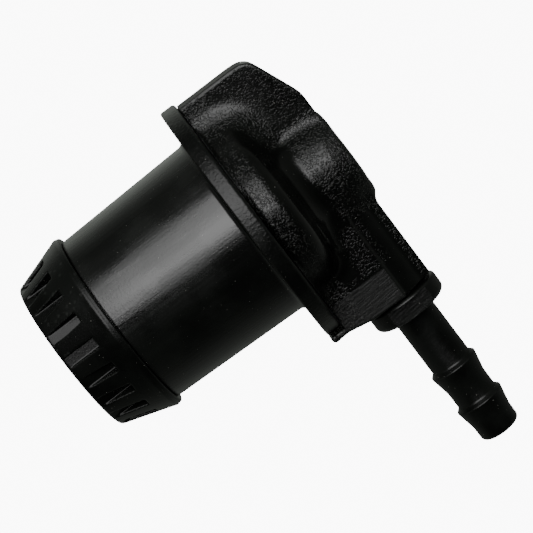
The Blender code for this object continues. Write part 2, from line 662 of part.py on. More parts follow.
def make_nipple():
    """Barbed hose nipple with a flatted collar, and its sealing ring."""
    nipple = revolve("outlet_nipple", nipple_outline(), "X", (0, 0, OUTLET_Z), FINE)
    for side in (-1, 1):
        near, far = sorted((side * COLLAR_FLAT, side * (COLLAR_R + OVERSHOOT)))
        low = (COLLAR_X + COLLAR_RIM, near, OUTLET_Z - COLLAR_R - OVERSHOOT)
        cut(nipple, box("flat", low, (COLLAR_END + GAP, far, OUTLET_Z + COLLAR_R + OVERSHOOT)))
    ring_r = PLUG_R - OUTLET_RING_SECTION
    middle = (COLLAR_X - PLUG_RING_PLACE, 0, OUTLET_Z)
    dress(ring("nipple_o_ring", ring_r, OUTLET_RING_SECTION, "X", middle, FINE), "rubber")
    return dress(nipple, "smooth_black")


def make_cover_ring():
    """Sealing ring between the flange and the head cover."""
    middle = (0, 0, FLANGE_TOP - COVER_RING_SECTION - RING_BACKING)
    return dress(ring("cover_o_ring", COVER_RING_R, COVER_RING_SECTION, centre=middle), "rubber")


def make_vent_seat():
    """Vent seat with its port, a sealing lip on each face and the groove for its ring."""
    groove_z = (SEAT_STEP_Z - GAP + CEILING_Z) / 2
    half = SEAT_RING_SECTION + GAP
    groove_r = SEAT_R - 2 * SEAT_RING_SECTION - GAP - RING_BACKING
    inner, outer, crest = LIP_R - LIP_WIDTH / 2, LIP_R + LIP_WIDTH / 2, LIP_CREST / 2
    outline = [(PORT_R, SEAT_LOW), (inner, SEAT_LOW), (LIP_R, LIP_LOW), (outer, SEAT_LOW), (SEAT_R, SEAT_LOW)]
    outline += [(SEAT_R, groove_z - half), (groove_r, groove_z - half), (groove_r, groove_z + half)]
    outline += [(SEAT_R, groove_z + half), (SEAT_R, SEAT_STEP_Z), (SEAT_FLANGE_R, SEAT_STEP_Z)]
    outline += [(SEAT_FLANGE_R, SEAT_TOP), (outer, SEAT_TOP), (LIP_R + crest, LIP_TOP)]
    outline += [(LIP_R - crest, LIP_TOP), (inner, SEAT_TOP), (PORT_R, SEAT_TOP)]
    ring_r = groove_r + GAP + SEAT_RING_SECTION
    dress(ring("seat_o_ring", ring_r, SEAT_RING_SECTION, centre=(0, 0, groove_z), segments=FINE), "rubber")
    return dress(revolve("vent_seat", outline, segments=FINE), "natural_acetal")


def float_outline():
    """Half section of the float: inner tube, shell, chamfered shoulder and the neck for the pad."""
    tube_outer, shell_r = FLOAT_TUBE_R + FLOAT_WALL, FLOAT_R - FLOAT_WALL
    tube_low = POST_TOP + FLOAT_TUBE_CLEAR
    groove_z = CLIP_LOW + CLIP_THICK / 2
    corners = [(0, CEILING_INSIDE, 0), (FLOAT_TUBE_R, CEILING_INSIDE, 0), (FLOAT_TUBE_R, tube_low, 0)]
    corners += [(tube_outer, tube_low, 0), (tube_outer, CEILING_INSIDE - FLOAT_WALL, EDGE_ROUND)]
    corners += [(shell_r, CEILING_INSIDE - FLOAT_CHAMFER + FLOAT_WALL, FLOAT_WALL), (shell_r, FLOAT_LOW, 0)]
    corners += [(FLOAT_R, FLOAT_LOW, 0), (FLOAT_R, FLOAT_TOP - FLOAT_CHAMFER, 0)]
    corners += [(PAD_R + PAD_SEAT, FLOAT_TOP, 0), (NECK_R, FLOAT_TOP, 0), (NECK_R, groove_z - NECK_GROOVE, 0)]
    corners += [(NECK_R, CLIP_TOP + GAP, 0), (0, CLIP_TOP + GAP, 0)]
    return rounded(corners, 2)


def make_float():
    """Float with its rubber pad, the clip that holds the pad and the assist spring below."""
    group = carriage("float_carriage", FLOAT_LOW)
    dress(revolve("float_body", float_outline(), segments=FINE, closed=False), "natural_acetal", group)
    bore_r = NECK_R + GAP
    pad = rounded([(bore_r, PAD_LOW, 0), (PAD_R, PAD_LOW, PAD_ROUND), (PAD_R, PAD_TOP, PAD_ROUND),
                   (bore_r, PAD_TOP, 0)], 2)
    dress(revolve("float_seal", pad, segments=FINE), "seal_brown", group)
    clip = [(bore_r, CLIP_LOW), (CLIP_R, CLIP_LOW), (CLIP_R, CLIP_TOP), (bore_r, CLIP_TOP)]
    dress(revolve("float_seal_clip", clip, segments=SMALL), "spring_steel", group)
    low, high = CAP_FLOOR + GAP, CEILING_INSIDE - GAP
    return dress(spring("float_spring", FLOAT_SPRING_R, FLOAT_WIRE_R, FLOAT_COILS, low, high), "spring_steel")


def breather_hole():
    """One hole in the relief disc that the umbrella covers."""
    return rod("hole", BREATHER_HOLE_R, HUB_LOW - OVERSHOOT, RELIEF_DISC_TOP + OVERSHOOT,
               centre=(BREATHER_CIRCLE_R, 0, 0), segments=8)


def make_relief_disc(group):
    """Relief disc with its hub, stem pocket and breather holes."""
    pocket_r, pocket_top = UMBRELLA_STEM_R + GAP, RELIEF_DISC_TOP + POCKET_RISE
    outline = [(0, pocket_top), (pocket_r, pocket_top), (pocket_r, HUB_LOW), (HUB_R, HUB_LOW)]
    outline += [(HUB_R, RELIEF_DISC_LOW), (RELIEF_R, RELIEF_DISC_LOW), (RELIEF_R, RELIEF_DISC_TOP)]
    outline += [(RELIEF_STEM_R, RELIEF_DISC_TOP), (RELIEF_STEM_R, RELIEF_STEM_TOP - STEM_CHAMFER)]
    outline += [(RELIEF_STEM_R - STEM_CHAMFER, RELIEF_STEM_TOP), (0, RELIEF_STEM_TOP)]
    disc = revolve("relief_disc", outline, segments=SMALL, closed=False)
    cut(disc, round_pattern("holes", breather_hole, BREATHER_COUNT))
    return dress(disc, "natural_acetal", group)


def make_umbrella(group):
    """Rubber umbrella under the hub: thin skirt below the breather holes and a stem up the pocket."""
    top = HUB_LOW - GAP
    low, stem_top = top - UMBRELLA_BOSS_THICK, RELIEF_DISC_TOP + UMBRELLA_STEM_RISE
    outline = [(0, low), (UMBRELLA_STEM_R + UMBRELLA_THICK, low), (UMBRELLA_R, top - UMBRELLA_THICK)]
    outline += [(UMBRELLA_R, top), (UMBRELLA_STEM_R, top), (UMBRELLA_STEM_R, stem_top - EDGE_BREAK)]
    outline += [(UMBRELLA_STEM_R - EDGE_BREAK, stem_top), (0, stem_top)]
    return dress(revolve("vacuum_umbrella", outline, segments=SMALL, closed=False), "seal_brown", group)


def make_relief_guide():
    """Guide bush for the stem, with the flange that the spring pushes against."""
    flange_r, bore_r = CHAMBER_R - GAP, RELIEF_STEM_R + GAP
    outline = [(bore_r, GUIDE_LOW), (GUIDE_R, GUIDE_LOW), (GUIDE_R, GUIDE_FLANGE_LOW)]
    outline += [(flange_r, GUIDE_FLANGE_LOW), (flange_r, GUIDE_TOP), (bore_r, GUIDE_TOP)]
    return dress(revolve("relief_guide", outline, segments=SMALL), "natural_acetal")


def make_relief():
    """Relief disc on its stem with face seal, umbrella and spring, and the guide fixed in the boss."""
    group = carriage("relief_carriage", RELIEF_DISC_LOW)
    make_relief_disc(group)
    make_umbrella(group)
    make_relief_guide()
    inner, top = HUB_R + GAP, RELIEF_SEAL_LOW + RELIEF_SEAL_THICK
    seal = [(inner, RELIEF_SEAL_LOW), (RELIEF_R, RELIEF_SEAL_LOW), (RELIEF_R, top), (inner, top)]
    dress(revolve("relief_seal", seal, segments=SMALL), "rubber", group)
    low, high = RELIEF_DISC_TOP + GAP, GUIDE_FLANGE_LOW - GAP
    coil = spring("relief_spring", RELIEF_SPRING_R, RELIEF_WIRE_R, RELIEF_COILS, low, high)
    return dress(coil, "spring_steel")


def build():
    """Model every piece."""
    for obj in list(bpy.data.objects):
        bpy.data.objects.remove(obj)
    make_end_cap()
    make_housing()
    make_head_cover()
    make_nipple()
    make_cover_ring()
    make_vent_seat()
    make_float()
    make_relief()


build()
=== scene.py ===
# %% [markdown]
# This lesson dresses a fuel tank vent valve: a slotted end cap, a float housing with a round flange, a
# moulded head and a barbed hose outlet, with a float and a relief valve inside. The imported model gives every
# piece its place and its box. We load it, and then model the four mouldings that show once more, as finely
# as the eye can follow them. Lengths are in millimetres, and the finer ones were read from the photograph.

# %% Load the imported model
import math

import bmesh
import bpy
import numpy as np
from mathutils import Matrix, Vector


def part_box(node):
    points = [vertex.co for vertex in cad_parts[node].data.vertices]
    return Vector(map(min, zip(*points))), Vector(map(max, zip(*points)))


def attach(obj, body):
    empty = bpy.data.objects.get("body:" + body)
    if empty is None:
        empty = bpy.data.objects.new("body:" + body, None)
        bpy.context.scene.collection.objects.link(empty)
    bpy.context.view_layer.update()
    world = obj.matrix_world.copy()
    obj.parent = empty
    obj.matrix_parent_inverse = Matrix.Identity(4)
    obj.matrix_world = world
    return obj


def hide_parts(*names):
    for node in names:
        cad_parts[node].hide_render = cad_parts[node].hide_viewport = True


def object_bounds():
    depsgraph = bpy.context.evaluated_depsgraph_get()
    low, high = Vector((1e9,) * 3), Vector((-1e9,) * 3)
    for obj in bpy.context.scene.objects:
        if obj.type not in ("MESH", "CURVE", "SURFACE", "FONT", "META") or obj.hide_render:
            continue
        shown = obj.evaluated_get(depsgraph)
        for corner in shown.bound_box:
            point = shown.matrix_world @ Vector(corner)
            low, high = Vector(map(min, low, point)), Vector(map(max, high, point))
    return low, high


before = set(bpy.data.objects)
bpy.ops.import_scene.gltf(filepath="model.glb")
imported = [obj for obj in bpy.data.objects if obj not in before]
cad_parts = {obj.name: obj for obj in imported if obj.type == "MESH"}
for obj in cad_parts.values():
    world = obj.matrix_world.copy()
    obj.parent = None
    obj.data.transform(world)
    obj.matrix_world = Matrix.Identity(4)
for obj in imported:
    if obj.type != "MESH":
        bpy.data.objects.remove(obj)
cad_low, cad_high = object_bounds()
MM = 0.001


def box_mm(node):
    """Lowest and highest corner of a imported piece, in millimetres."""
    low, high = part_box(node)
    return low / MM, high / MM


# %% [markdown]
# The camera was fitted to the outline in the photograph: it looks almost squarely at the valve's axis and is
# rolled by a little more than half a right angle. The picture hardly fixes its distance, so that was held at
# about 0.39 m, which fitted best by a little, and a long lens frames the valve from there. Its place and two
# directions are kept, and two cross products build the rest.

# %% Camera
CAMERA_PLACE = Vector((-55.6, -388.7, 45.3)) * MM
VIEW_FORWARD = Vector((0.1625, 0.9865, -0.0194)).normalized()
PICTURE_RIGHT = Vector((0.5999, -0.0832, 0.7957))
LENS = 148.3


def add_object(name, data):
    """Put a mesh, a lamp or a camera in the scene as an object."""
    obj = bpy.data.objects.new(name, data)
    bpy.context.scene.collection.objects.link(obj)
    return obj


up = PICTURE_RIGHT.cross(VIEW_FORWARD).normalized()
right = VIEW_FORWARD.cross(up)
turn = Matrix((right, up, -VIEW_FORWARD)).transposed()
camera_data = bpy.data.cameras.new("picture_camera")
camera_data.lens = LENS
camera_data.sensor_width = 36.0
camera_data.clip_start, camera_data.clip_end = 0.01, 20.0
camera = add_object("picture_camera", camera_data)
camera.matrix_world = Matrix.Translation(CAMERA_PLACE) @ turn.to_4x4()
bpy.context.scene.camera = camera
rolled = math.degrees(math.acos(up.z))
print(f"camera {CAMERA_PLACE.length:.3f} m from the origin, rolled {rolled:.0f} degrees")

# %% [markdown]
# Black plastic shows hardly any colour of its own: what the eye reads are the reflections. A soft box in
# front, to the left and brightest in its middle, draws the long pale streak down the housing. One even lamp
# would draw it with hard edges, so a wide lamp and a narrower one shine together.

# %% Soft boxes
SOFT_BOXES = {                       # azimuth in degrees from -Y, where -X is negative; distance, size, power
    "wide_box": (-34.0, 0.60, (0.57, 0.62), 4.5),
    "bright_box": (-25.0, 0.58, (0.24, 0.50), 0.9),
}


def soft_box(name, azimuth, distance, size, power):
    """A rectangular lamp at the valve's own height that faces the middle of it."""
    data = bpy.data.lights.new(name, "AREA")
    data.shape = "RECTANGLE"
    data.size, data.size_y = size
    data.energy = power
    turned = math.radians(azimuth)
    middle = (cad_low + cad_high) / 2
    place = middle + Vector((math.sin(turned), -math.cos(turned), 0.0)) * distance
    lamp = add_object(name, data)
    lamp.location = place
    lamp.rotation_mode = "QUATERNION"
    lamp.rotation_quaternion = (middle - place).to_track_quat("-Z", "Y")


for name, setting in SOFT_BOXES.items():
    soft_box(name, *setting)
print(f"{len(SOFT_BOXES)} soft boxes, {sum(setting[3] for setting in SOFT_BOXES.values()):.1f} W")

# %% [markdown]
# The rest of the room is dark with a faint green cast, and light from behind brightens the outline, more at
# the left. A picture of a room could be wrapped round the scene, but a colour ramp of eight stops says the
# same: it runs from the dark front to the bright corner behind the valve. It serves for reflections only,
# and the camera itself sees plain white.

# %% Room
BRIGHT_CORNER = Vector((-0.50, 0.866, 0.0))
ROOM_TINT = (0.93, 1.0, 0.91)
ROOM_RAMP = ((0.0, 0.03), (0.12, 0.05), (0.23, 0.11), (0.42, 0.19),
             (0.70, 0.19), (0.80, 0.10), (0.94, 0.26), (1.0, 0.62))
PAPER_WHITE = 10.0                   # strength of what the camera sees behind the valve


def by_ray(tree, others_see, camera_sees, end):
    """Show one shader to the camera and another to every other ray."""
    ray = tree.nodes.new("ShaderNodeLightPath")
    choice = tree.nodes.new("ShaderNodeMixShader")
    tree.links.new(ray.outputs["Is Camera Ray"], choice.inputs["Fac"])
    tree.links.new(others_see.outputs[0], choice.inputs[1])
    tree.links.new(camera_sees.outputs[0], choice.inputs[2])
    tree.links.new(choice.outputs[0], end.inputs["Surface"])


world = bpy.data.worlds.new("studio")
bpy.context.scene.world = world
world.use_nodes = True
tree = world.node_tree
tree.nodes.clear()
direction = tree.nodes.new("ShaderNodeTexCoord")
nearness = tree.nodes.new("ShaderNodeVectorMath")
nearness.operation = "DOT_PRODUCT"
nearness.inputs[1].default_value = BRIGHT_CORNER
share = tree.nodes.new("ShaderNodeMapRange")
share.inputs["From Min"].default_value = -1.0
share.inputs["From Max"].default_value = 1.0
room = tree.nodes.new("ShaderNodeValToRGB")
while len(room.color_ramp.elements) < len(ROOM_RAMP):
    room.color_ramp.elements.new(0.5)
for stop, (place, strength) in zip(room.color_ramp.elements, ROOM_RAMP):
    stop.position = place
    stop.color = (*(strength * channel for channel in ROOM_TINT), 1.0)
reflected = tree.nodes.new("ShaderNodeBackground")
seen = tree.nodes.new("ShaderNodeBackground")
seen.inputs["Color"].default_value = (1, 1, 1, 1)
seen.inputs["Strength"].default_value = PAPER_WHITE
tree.links.new(direction.outputs["Generated"], nearness.inputs[0])
tree.links.new(nearness.outputs["Value"], share.inputs["Value"])
tree.links.new(share.outputs["Result"], room.inputs["Fac"])
tree.links.new(room.outputs["Color"], reflected.inputs["Color"])
by_ray(tree, reflected, seen, tree.nodes.new("ShaderNodeOutputWorld"))
print(f"room ramp of {len(ROOM_RAMP)} stops, from {ROOM_RAMP[0][1]} to {ROOM_RAMP[-1][1]}")

# %% [markdown]
# The floor is a plain pale sheet under the valve. To the camera it is as white as what lies behind. The valve
# stands on end here and lay on its side in the photograph, so for reflections the floor lets the room
# through: a white floor would fog the cone of the cap.

# %% Floor
FLOOR_SIZE = 12.0
FLOOR_DROP = 0.0006
half = FLOOR_SIZE / 2
corners = [(-half, -half, 0), (half, -half, 0), (half, half, 0), (-half, half, 0)]
floor_mesh = bpy.data.meshes.new("floor")
floor_mesh.from_pydata(corners, [], [(0, 1, 2, 3)])
floor = add_object("floor", floor_mesh)
floor.location.z = cad_low.z - FLOOR_DROP
paper = bpy.data.materials.new("pale_paper")
paper.use_nodes = True
tree = paper.node_tree
tree.nodes.clear()
white = tree.nodes.new("ShaderNodeEmission")
white.inputs["Color"].default_value = (1, 1, 1, 1)
white.inputs["Strength"].default_value = PAPER_WHITE
clear = tree.nodes.new("ShaderNodeBsdfTransparent")
by_ray(tree, clear, white, tree.nodes.new("ShaderNodeOutputMaterial"))
floor_mesh.materials.append(paper)
print(f"floor {-floor.location.z / MM:.1f} mm below the cap")

# %% [markdown]
# Five effects return on many of the finishes, so each becomes a node group that is built once and placed
# with its own values. A few helpers keep the groups short: the first makes a group with its sockets, the
# second feeds a socket, and the others add one node each and hand back its output.

# %% Helpers for node groups
def group(name, inputs, outputs):
    """A shader node group with named float inputs and outputs, and its two end nodes."""
    tree = bpy.data.node_groups.new(name, "ShaderNodeTree")
    for label, value in inputs.items():
        socket = tree.interface.new_socket(name=label, in_out="INPUT", socket_type="NodeSocketFloat")
        socket.default_value = value
    for label in outputs:
        tree.interface.new_socket(name=label, in_out="OUTPUT", socket_type="NodeSocketFloat")
    return tree, tree.nodes.new("NodeGroupInput"), tree.nodes.new("NodeGroupOutput")


def feed(tree, socket, value):
    """Set a socket to a number, or link it to an output."""
    if isinstance(value, (int, float)):
        socket.default_value = value
    else:
        tree.links.new(value, socket)


def maths(tree, operation, first, second):
    """A math node; each operand is a number or an output socket."""
    node = tree.nodes.new("ShaderNodeMath")
    node.operation = operation
    for socket, value in zip(node.inputs, (first, second)):
        feed(tree, socket, value)
    return node.outputs[0]


def ranged(tree, value, low, high, to_low=0.0, to_high=1.0):
    """Stretch a value between two limits, smoothly; the limits may be sockets."""
    node = tree.nodes.new("ShaderNodeMapRange")
    node.interpolation_type = "SMOOTHSTEP"
    for label, limit in zip(("From Min", "From Max", "To Min", "To Max"), (low, high, to_low, to_high)):
        feed(tree, node.inputs[label], limit)
    tree.links.new(value, node.inputs["Value"])
    return node.outputs["Result"]


def noise(tree, vector, scale, detail=2.0, roughness=0.5):
    """A noise texture's value; the scale may be a socket."""
    node = tree.nodes.new("ShaderNodeTexNoise")
    node.inputs["Detail"].default_value = detail
    node.inputs["Roughness"].default_value = roughness
    feed(tree, node.inputs["Scale"], scale)
    tree.links.new(vector, node.inputs["Vector"])
    return node.outputs["Fac"]


def place_in(tree):
    """Coordinates fixed to the piece, in metres."""
    return tree.nodes.new("ShaderNodeTexCoord").outputs["Object"]


def joined_place(tree, first, second):
    """A flat vector made of two values, for a noise to read."""
    node = tree.nodes.new("ShaderNodeCombineXYZ")
    tree.links.new(first, node.inputs["X"])
    tree.links.new(second, node.inputs["Y"])
    return node.outputs[0]


print("helpers for node groups ready")

# %% [markdown]
# Spark texture is what an eroded mould leaves on a moulding: fine pits whose rims catch the light.
# Modelled pits would take millions of faces, so a fine noise gives their height, and a mask of their tips
# gets a paler colour as painted glints.

# %% Spark texture
def make_spark_texture():
    """Pits of an eroded mould: their height, and a mask of the tips for painted glints."""
    tree, given, result = group("spark_texture", {"Scale": 2600.0}, ("Height", "Painted Glint"))
    pits = noise(tree, place_in(tree), given.outputs["Scale"], 1.5, 0.55)
    tree.links.new(ranged(tree, pits, 0.44, 0.66), result.inputs["Height"])
    # the tips of the pits: a mask for painted glints, a paler colour painted where light would glint
    tree.links.new(ranged(tree, pits, 0.56, 0.68), result.inputs["Painted Glint"])
    return tree


SPARK = make_spark_texture()
print("node group", SPARK.name)

# %% [markdown]
# Draw lines run along the axis, where the housing was pulled from its mould. Plain coordinates would let them
# cross the tube, so the noise reads the angle round the axis and the height instead, each with its own
# stretch: many lines round the tube, and every one of them long.

# %% Draw lines
def make_draw_lines():
    """Fine lines along the valve's axis: their height and a slow change from line to line."""
    tree, given, result = group("draw_lines", {"Lines": 60.0, "Length": 30.0}, ("Height", "Streak"))
    split = tree.nodes.new("ShaderNodeSeparateXYZ")
    tree.links.new(place_in(tree), split.inputs[0])
    around = maths(tree, "ARCTAN2", split.outputs["Y"], split.outputs["X"])
    place = joined_place(tree, maths(tree, "MULTIPLY", around, given.outputs["Lines"]),
                         maths(tree, "MULTIPLY", split.outputs["Z"], given.outputs["Length"]))
    tree.links.new(noise(tree, place, 1.0, 3.0, 0.6), result.inputs["Height"])
    tree.links.new(ranged(tree, noise(tree, place, 0.22, 2.0), 0.35, 0.65), result.inputs["Streak"])
    return tree


DRAW = make_draw_lines()
print("node group", DRAW.name)

# %% [markdown]
# Polish marks are the straight scratches of a stoned mould, on flat faces that look along Y. The same kind of
# stretch is made in the plane of the face, with a little slant, because a hand never strokes quite straight.

# %% Polish marks
MARK_LENGTH = 350.0                  # the higher, the shorter the scratches


def make_polish_marks():
    """Fine straight scratches on a face that looks along Y; they run along Z, a little aslant."""
    tree, given, result = group("polish_marks", {"Lines": 3000.0, "Slant": 0.06}, ("Height",))
    split = tree.nodes.new("ShaderNodeSeparateXYZ")
    tree.links.new(place_in(tree), split.inputs[0])
    slanted = maths(tree, "MULTIPLY", split.outputs["Z"], given.outputs["Slant"])
    across = maths(tree, "ADD", split.outputs["X"], slanted)
    place = joined_place(tree, maths(tree, "MULTIPLY", across, given.outputs["Lines"]),
                         maths(tree, "MULTIPLY", split.outputs["Z"], MARK_LENGTH))
    tree.links.new(ranged(tree, noise(tree, place, 1.0, 2.0), 0.3, 0.7), result.inputs["Height"])
    return tree


POLISH = make_polish_marks()
print("node group", POLISH.name)

# %% [markdown]
# Handling is the uneven film of dust and grease on a used part, with a few pale specks. Edge rub is the paler
# rim where an edge has been touched. A mask painted by hand would do for one piece; the mesh's own Pointiness
# finds the edges of all of them, and a noise breaks the mask up so that no edge is worn evenly.

# %% Handling and edge rub
SPECK_SCALE = 3600.0


def make_handling():
    """Broad uneven film of dust and grease, with a few specks."""
    tree, given, result = group("handling", {"Scale": 90.0}, ("Film", "Speck"))
    where = place_in(tree)
    broad = noise(tree, where, given.outputs["Scale"], 4.0, 0.6)
    specks = noise(tree, where, SPECK_SCALE, 0.0)
    tree.links.new(ranged(tree, broad, 0.38, 0.66), result.inputs["Film"])
    tree.links.new(ranged(tree, specks, 0.845, 0.87), result.inputs["Speck"])
    return tree


def make_edge_rub():
    """Mask of the convex edges, broken up so that no edge is worn evenly."""
    tree, given, result = group("edge_rub", {"Start": 0.515, "End": 0.56}, ("Rub",))
    pointed = tree.nodes.new("ShaderNodeNewGeometry").outputs["Pointiness"]
    edges = ranged(tree, pointed, given.outputs["Start"], given.outputs["End"])
    broken = ranged(tree, noise(tree, place_in(tree), 420.0, 3.0, 0.65), 0.3, 0.62, 0.25, 1.0)
    tree.links.new(maths(tree, "MULTIPLY", edges, broken), result.inputs["Rub"])
    return tree


HANDLING, EDGE = make_handling(), make_edge_rub()
print("node groups", HANDLING.name, "and", EDGE.name)

# %% [markdown]
# A finish starts as a Principled shader. What is the same all over is set on its sockets, and what changes
# over the surface comes from the groups. Small helpers place a group, mix colours, read a mask and connect
# the result, so that each finish below reads like a recipe.

# %% Helpers for finishes
def start_finish(name, **fixed):
    """A new material with its Principled shader; fixed sockets are set by name."""
    material = bpy.data.materials.new(name)
    material.use_nodes = True
    shader = material.node_tree.nodes["Principled BSDF"]
    for label, value in fixed.items():
        shader.inputs[label.replace("_", " ")].default_value = value
    return material, material.node_tree, shader


def use(tree, made, **values):
    """Place a node group with its own values."""
    node = tree.nodes.new("ShaderNodeGroup")
    node.node_tree = made
    for label, value in values.items():
        node.inputs[label].default_value = value
    return node


def blend_colours(tree, amount, first, second):
    """A mix of two colours, each a tuple or a socket."""
    node = tree.nodes.new("ShaderNodeMix")
    node.data_type = "RGBA"
    tree.links.new(amount, node.inputs["Factor"])
    for label, value in (("A", first), ("B", second)):
        if isinstance(value, tuple):
            node.inputs[label].default_value = (*value, 1.0)
        else:
            tree.links.new(value, node.inputs[label])
    return node.outputs["Result"]


def weighed(tree, *parts):
    """The sum of some values, each with its own weight."""
    total = 0.0
    for value, weight in parts:
        total = maths(tree, "ADD", maths(tree, "MULTIPLY", value, weight), total)
    return total


def painted_mask(tree, name):
    """A number from 0 to 1 that is stored on the points of a mesh."""
    mask = tree.nodes.new("ShaderNodeAttribute")
    mask.attribute_name = name
    return mask.outputs["Fac"]


def end_finish(tree, shader, colour, roughness, height, depth):
    """Connect colour and roughness; a height of 0 to 1 raises the surface by a depth in millimetres."""
    node = tree.nodes.new("ShaderNodeBump")
    node.inputs["Distance"].default_value = depth * MM
    tree.links.new(height, node.inputs["Height"])
    tree.links.new(colour, shader.inputs["Base Color"])
    tree.links.new(roughness, shader.inputs["Roughness"])
    tree.links.new(node.outputs["Normal"], shader.inputs["Normal"])


print("helpers for finishes ready")

# %% [markdown]
# All four mouldings are black plastic under a thin film of handling, with edges that are a little paler. The
# flange is duller than the tube that it is moulded with, so it has a finish of its own on the same mesh. It
# and the end cap need no more than the plastic and a fine grain.

# %% Black plastic, flange and end cap
BLACK = (0.0011, 0.0013, 0.0011)
BLACK_FILM = (0.0030, 0.0035, 0.0030)
BLACK_RUB = (0.010, 0.011, 0.010)
# painted glint: the paler colour painted on the tips of the head's spark texture
PAINTED_GLINT = (0.022, 0.023, 0.021)
DUST = (0.10, 0.10, 0.09)


def black_plastic(name, gloss, dull, film_scale, **fixed):
    """Black plastic with a film of handling and rubbed edges; hands back what a finish goes on with."""
    material, tree, shader = start_finish(name, **fixed)
    film = use(tree, HANDLING, Scale=film_scale)
    rub = use(tree, EDGE)
    colour = blend_colours(tree, film.outputs["Film"], BLACK, BLACK_FILM)
    colour = blend_colours(tree, rub.outputs["Rub"], colour, BLACK_RUB)
    colour = blend_colours(tree, film.outputs["Speck"], colour, DUST)
    roughness = ranged(tree, film.outputs["Film"], 0.0, 1.0, gloss, dull)
    return material, tree, shader, colour, roughness


def grained_plastic(name, gloss, dull, film_scale, grain_scale, depth, **fixed):
    """Black plastic with nothing but a fine grain."""
    material, tree, shader, colour, roughness = black_plastic(name, gloss, dull, film_scale, **fixed)
    grain = use(tree, SPARK, Scale=grain_scale)
    end_finish(tree, shader, colour, roughness, grain.outputs["Height"], depth)
    return material


FLANGE_PLASTIC = grained_plastic("flange_plastic", 0.29, 0.35, 120.0, 1900.0, 0.022, Specular_IOR_Level=0.25)
CAP_PLASTIC = grained_plastic("cap_plastic", 0.26, 0.31, 110.0, 2400.0, 0.006, Specular_IOR_Level=0.2)
print("finishes", FLANGE_PLASTIC.name, "and", CAP_PLASTIC.name)

# %% [markdown]
# The housing is glossy, and draw lines run all along it: they give the pale streak its brushed look. The
# nipple is duller, and the two flats of its collar carry polish marks.

# %% Housing and nipple
def housing_finish():
    """Glossy plastic with draw lines and a little grain."""
    material, tree, shader, colour, roughness = black_plastic("housing_plastic", 0.20, 0.27, 75.0)
    lines = use(tree, DRAW, Lines=34.0, Length=120.0)
    grain = use(tree, SPARK, Scale=2600.0)
    roughness = weighed(tree, (roughness, 1.0), (lines.outputs["Streak"], 0.06))
    height = weighed(tree, (lines.outputs["Height"], 1.0), (grain.outputs["Height"], 0.2))
    end_finish(tree, shader, colour, roughness, height, 0.024)
    return material


def nipple_finish():
    """Satin plastic, with polish marks where the mask says so."""
    material, tree, shader, colour, roughness = black_plastic("nipple_plastic", 0.27, 0.33, 160.0,
                                                              Specular_IOR_Level=0.25)
    grain, polish = use(tree, SPARK, Scale=1400.0), use(tree, POLISH)
    polished = painted_mask(tree, "polished")
    roughness = weighed(tree, (roughness, 1.0), (polished, 0.10))
    marks = maths(tree, "MULTIPLY", polish.outputs["Height"], polished)
    height = weighed(tree, (grain.outputs["Height"], 0.4), (marks, 1.0))
    end_finish(tree, shader, colour, roughness, height, 0.02)
    return material


HOUSING_PLASTIC, NIPPLE_PLASTIC = housing_finish(), nipple_finish()
print("finishes", HOUSING_PLASTIC.name, "and", NIPPLE_PLASTIC.name)

# %% [markdown]
# The head has three finishes in one moulding. Its mould was spark eroded on the web, the ridge, the boss, the
# bell's side and about the pad, left plain elsewhere, and stoned on the pad and on the web's end. Three
# materials would meet in hard lines, so one material reads two masks that are stored on the mesh. On the
# eroded zones the tips of the pits are painted paler: painted glints.

# %% Head
def head_finish():
    """Glossy plastic: eroded with painted glints, plain or polished, as the two masks say."""
    material, tree, shader, colour, roughness = black_plastic("head_plastic", 0.17, 0.22, 80.0,
                                                              Specular_IOR_Level=0.3)
    spark, polish = use(tree, SPARK, Scale=2700.0), use(tree, POLISH)
    eroded, polished = painted_mask(tree, "eroded"), painted_mask(tree, "polished")
    # painted glints: where the head is eroded, the tips of the pits are painted a paler colour
    painted_glint = maths(tree, "MULTIPLY", spark.outputs["Painted Glint"], eroded)
    colour = blend_colours(tree, painted_glint, colour, PAINTED_GLINT)
    roughness = weighed(tree, (roughness, 1.0), (eroded, 0.02), (polished, 0.30))
    sparks = maths(tree, "MULTIPLY", spark.outputs["Height"], ranged(tree, eroded, 0.0, 1.0, 0.08, 1.0))
    marks = maths(tree, "MULTIPLY", polish.outputs["Height"], polished)
    end_finish(tree, shader, colour, roughness, weighed(tree, (sparks, 1.0), (marks, 0.45)), 0.065)
    return material


HEAD_PLASTIC = head_finish()
print("finish", HEAD_PLASTIC.name)

# %% [markdown]
# The inner pieces are hidden when the valve is whole, but they are part of the model and show when it is
# taken apart: natural acetal that has yellowed a little, black and brown rubber with a dull bloom, and drawn
# spring wire. They need no new shapes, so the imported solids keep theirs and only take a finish.

# %% Inner pieces
def inner_finish(name, film_scale, clean, aged, gloss, dull, grain_scale, depth, rubbed=None, **fixed):
    """A finish that ages from one colour to another, with a grain and perhaps rubbed edges."""
    material, tree, shader = start_finish(name, **fixed)
    film = use(tree, HANDLING, Scale=film_scale)
    colour = blend_colours(tree, film.outputs["Film"], clean, aged)
    if rubbed:
        colour = blend_colours(tree, use(tree, EDGE).outputs["Rub"], colour, rubbed)
    roughness = ranged(tree, film.outputs["Film"], 0.0, 1.0, gloss, dull)
    grain = use(tree, SPARK, Scale=grain_scale)
    end_finish(tree, shader, colour, roughness, grain.outputs["Height"], depth)
    return material


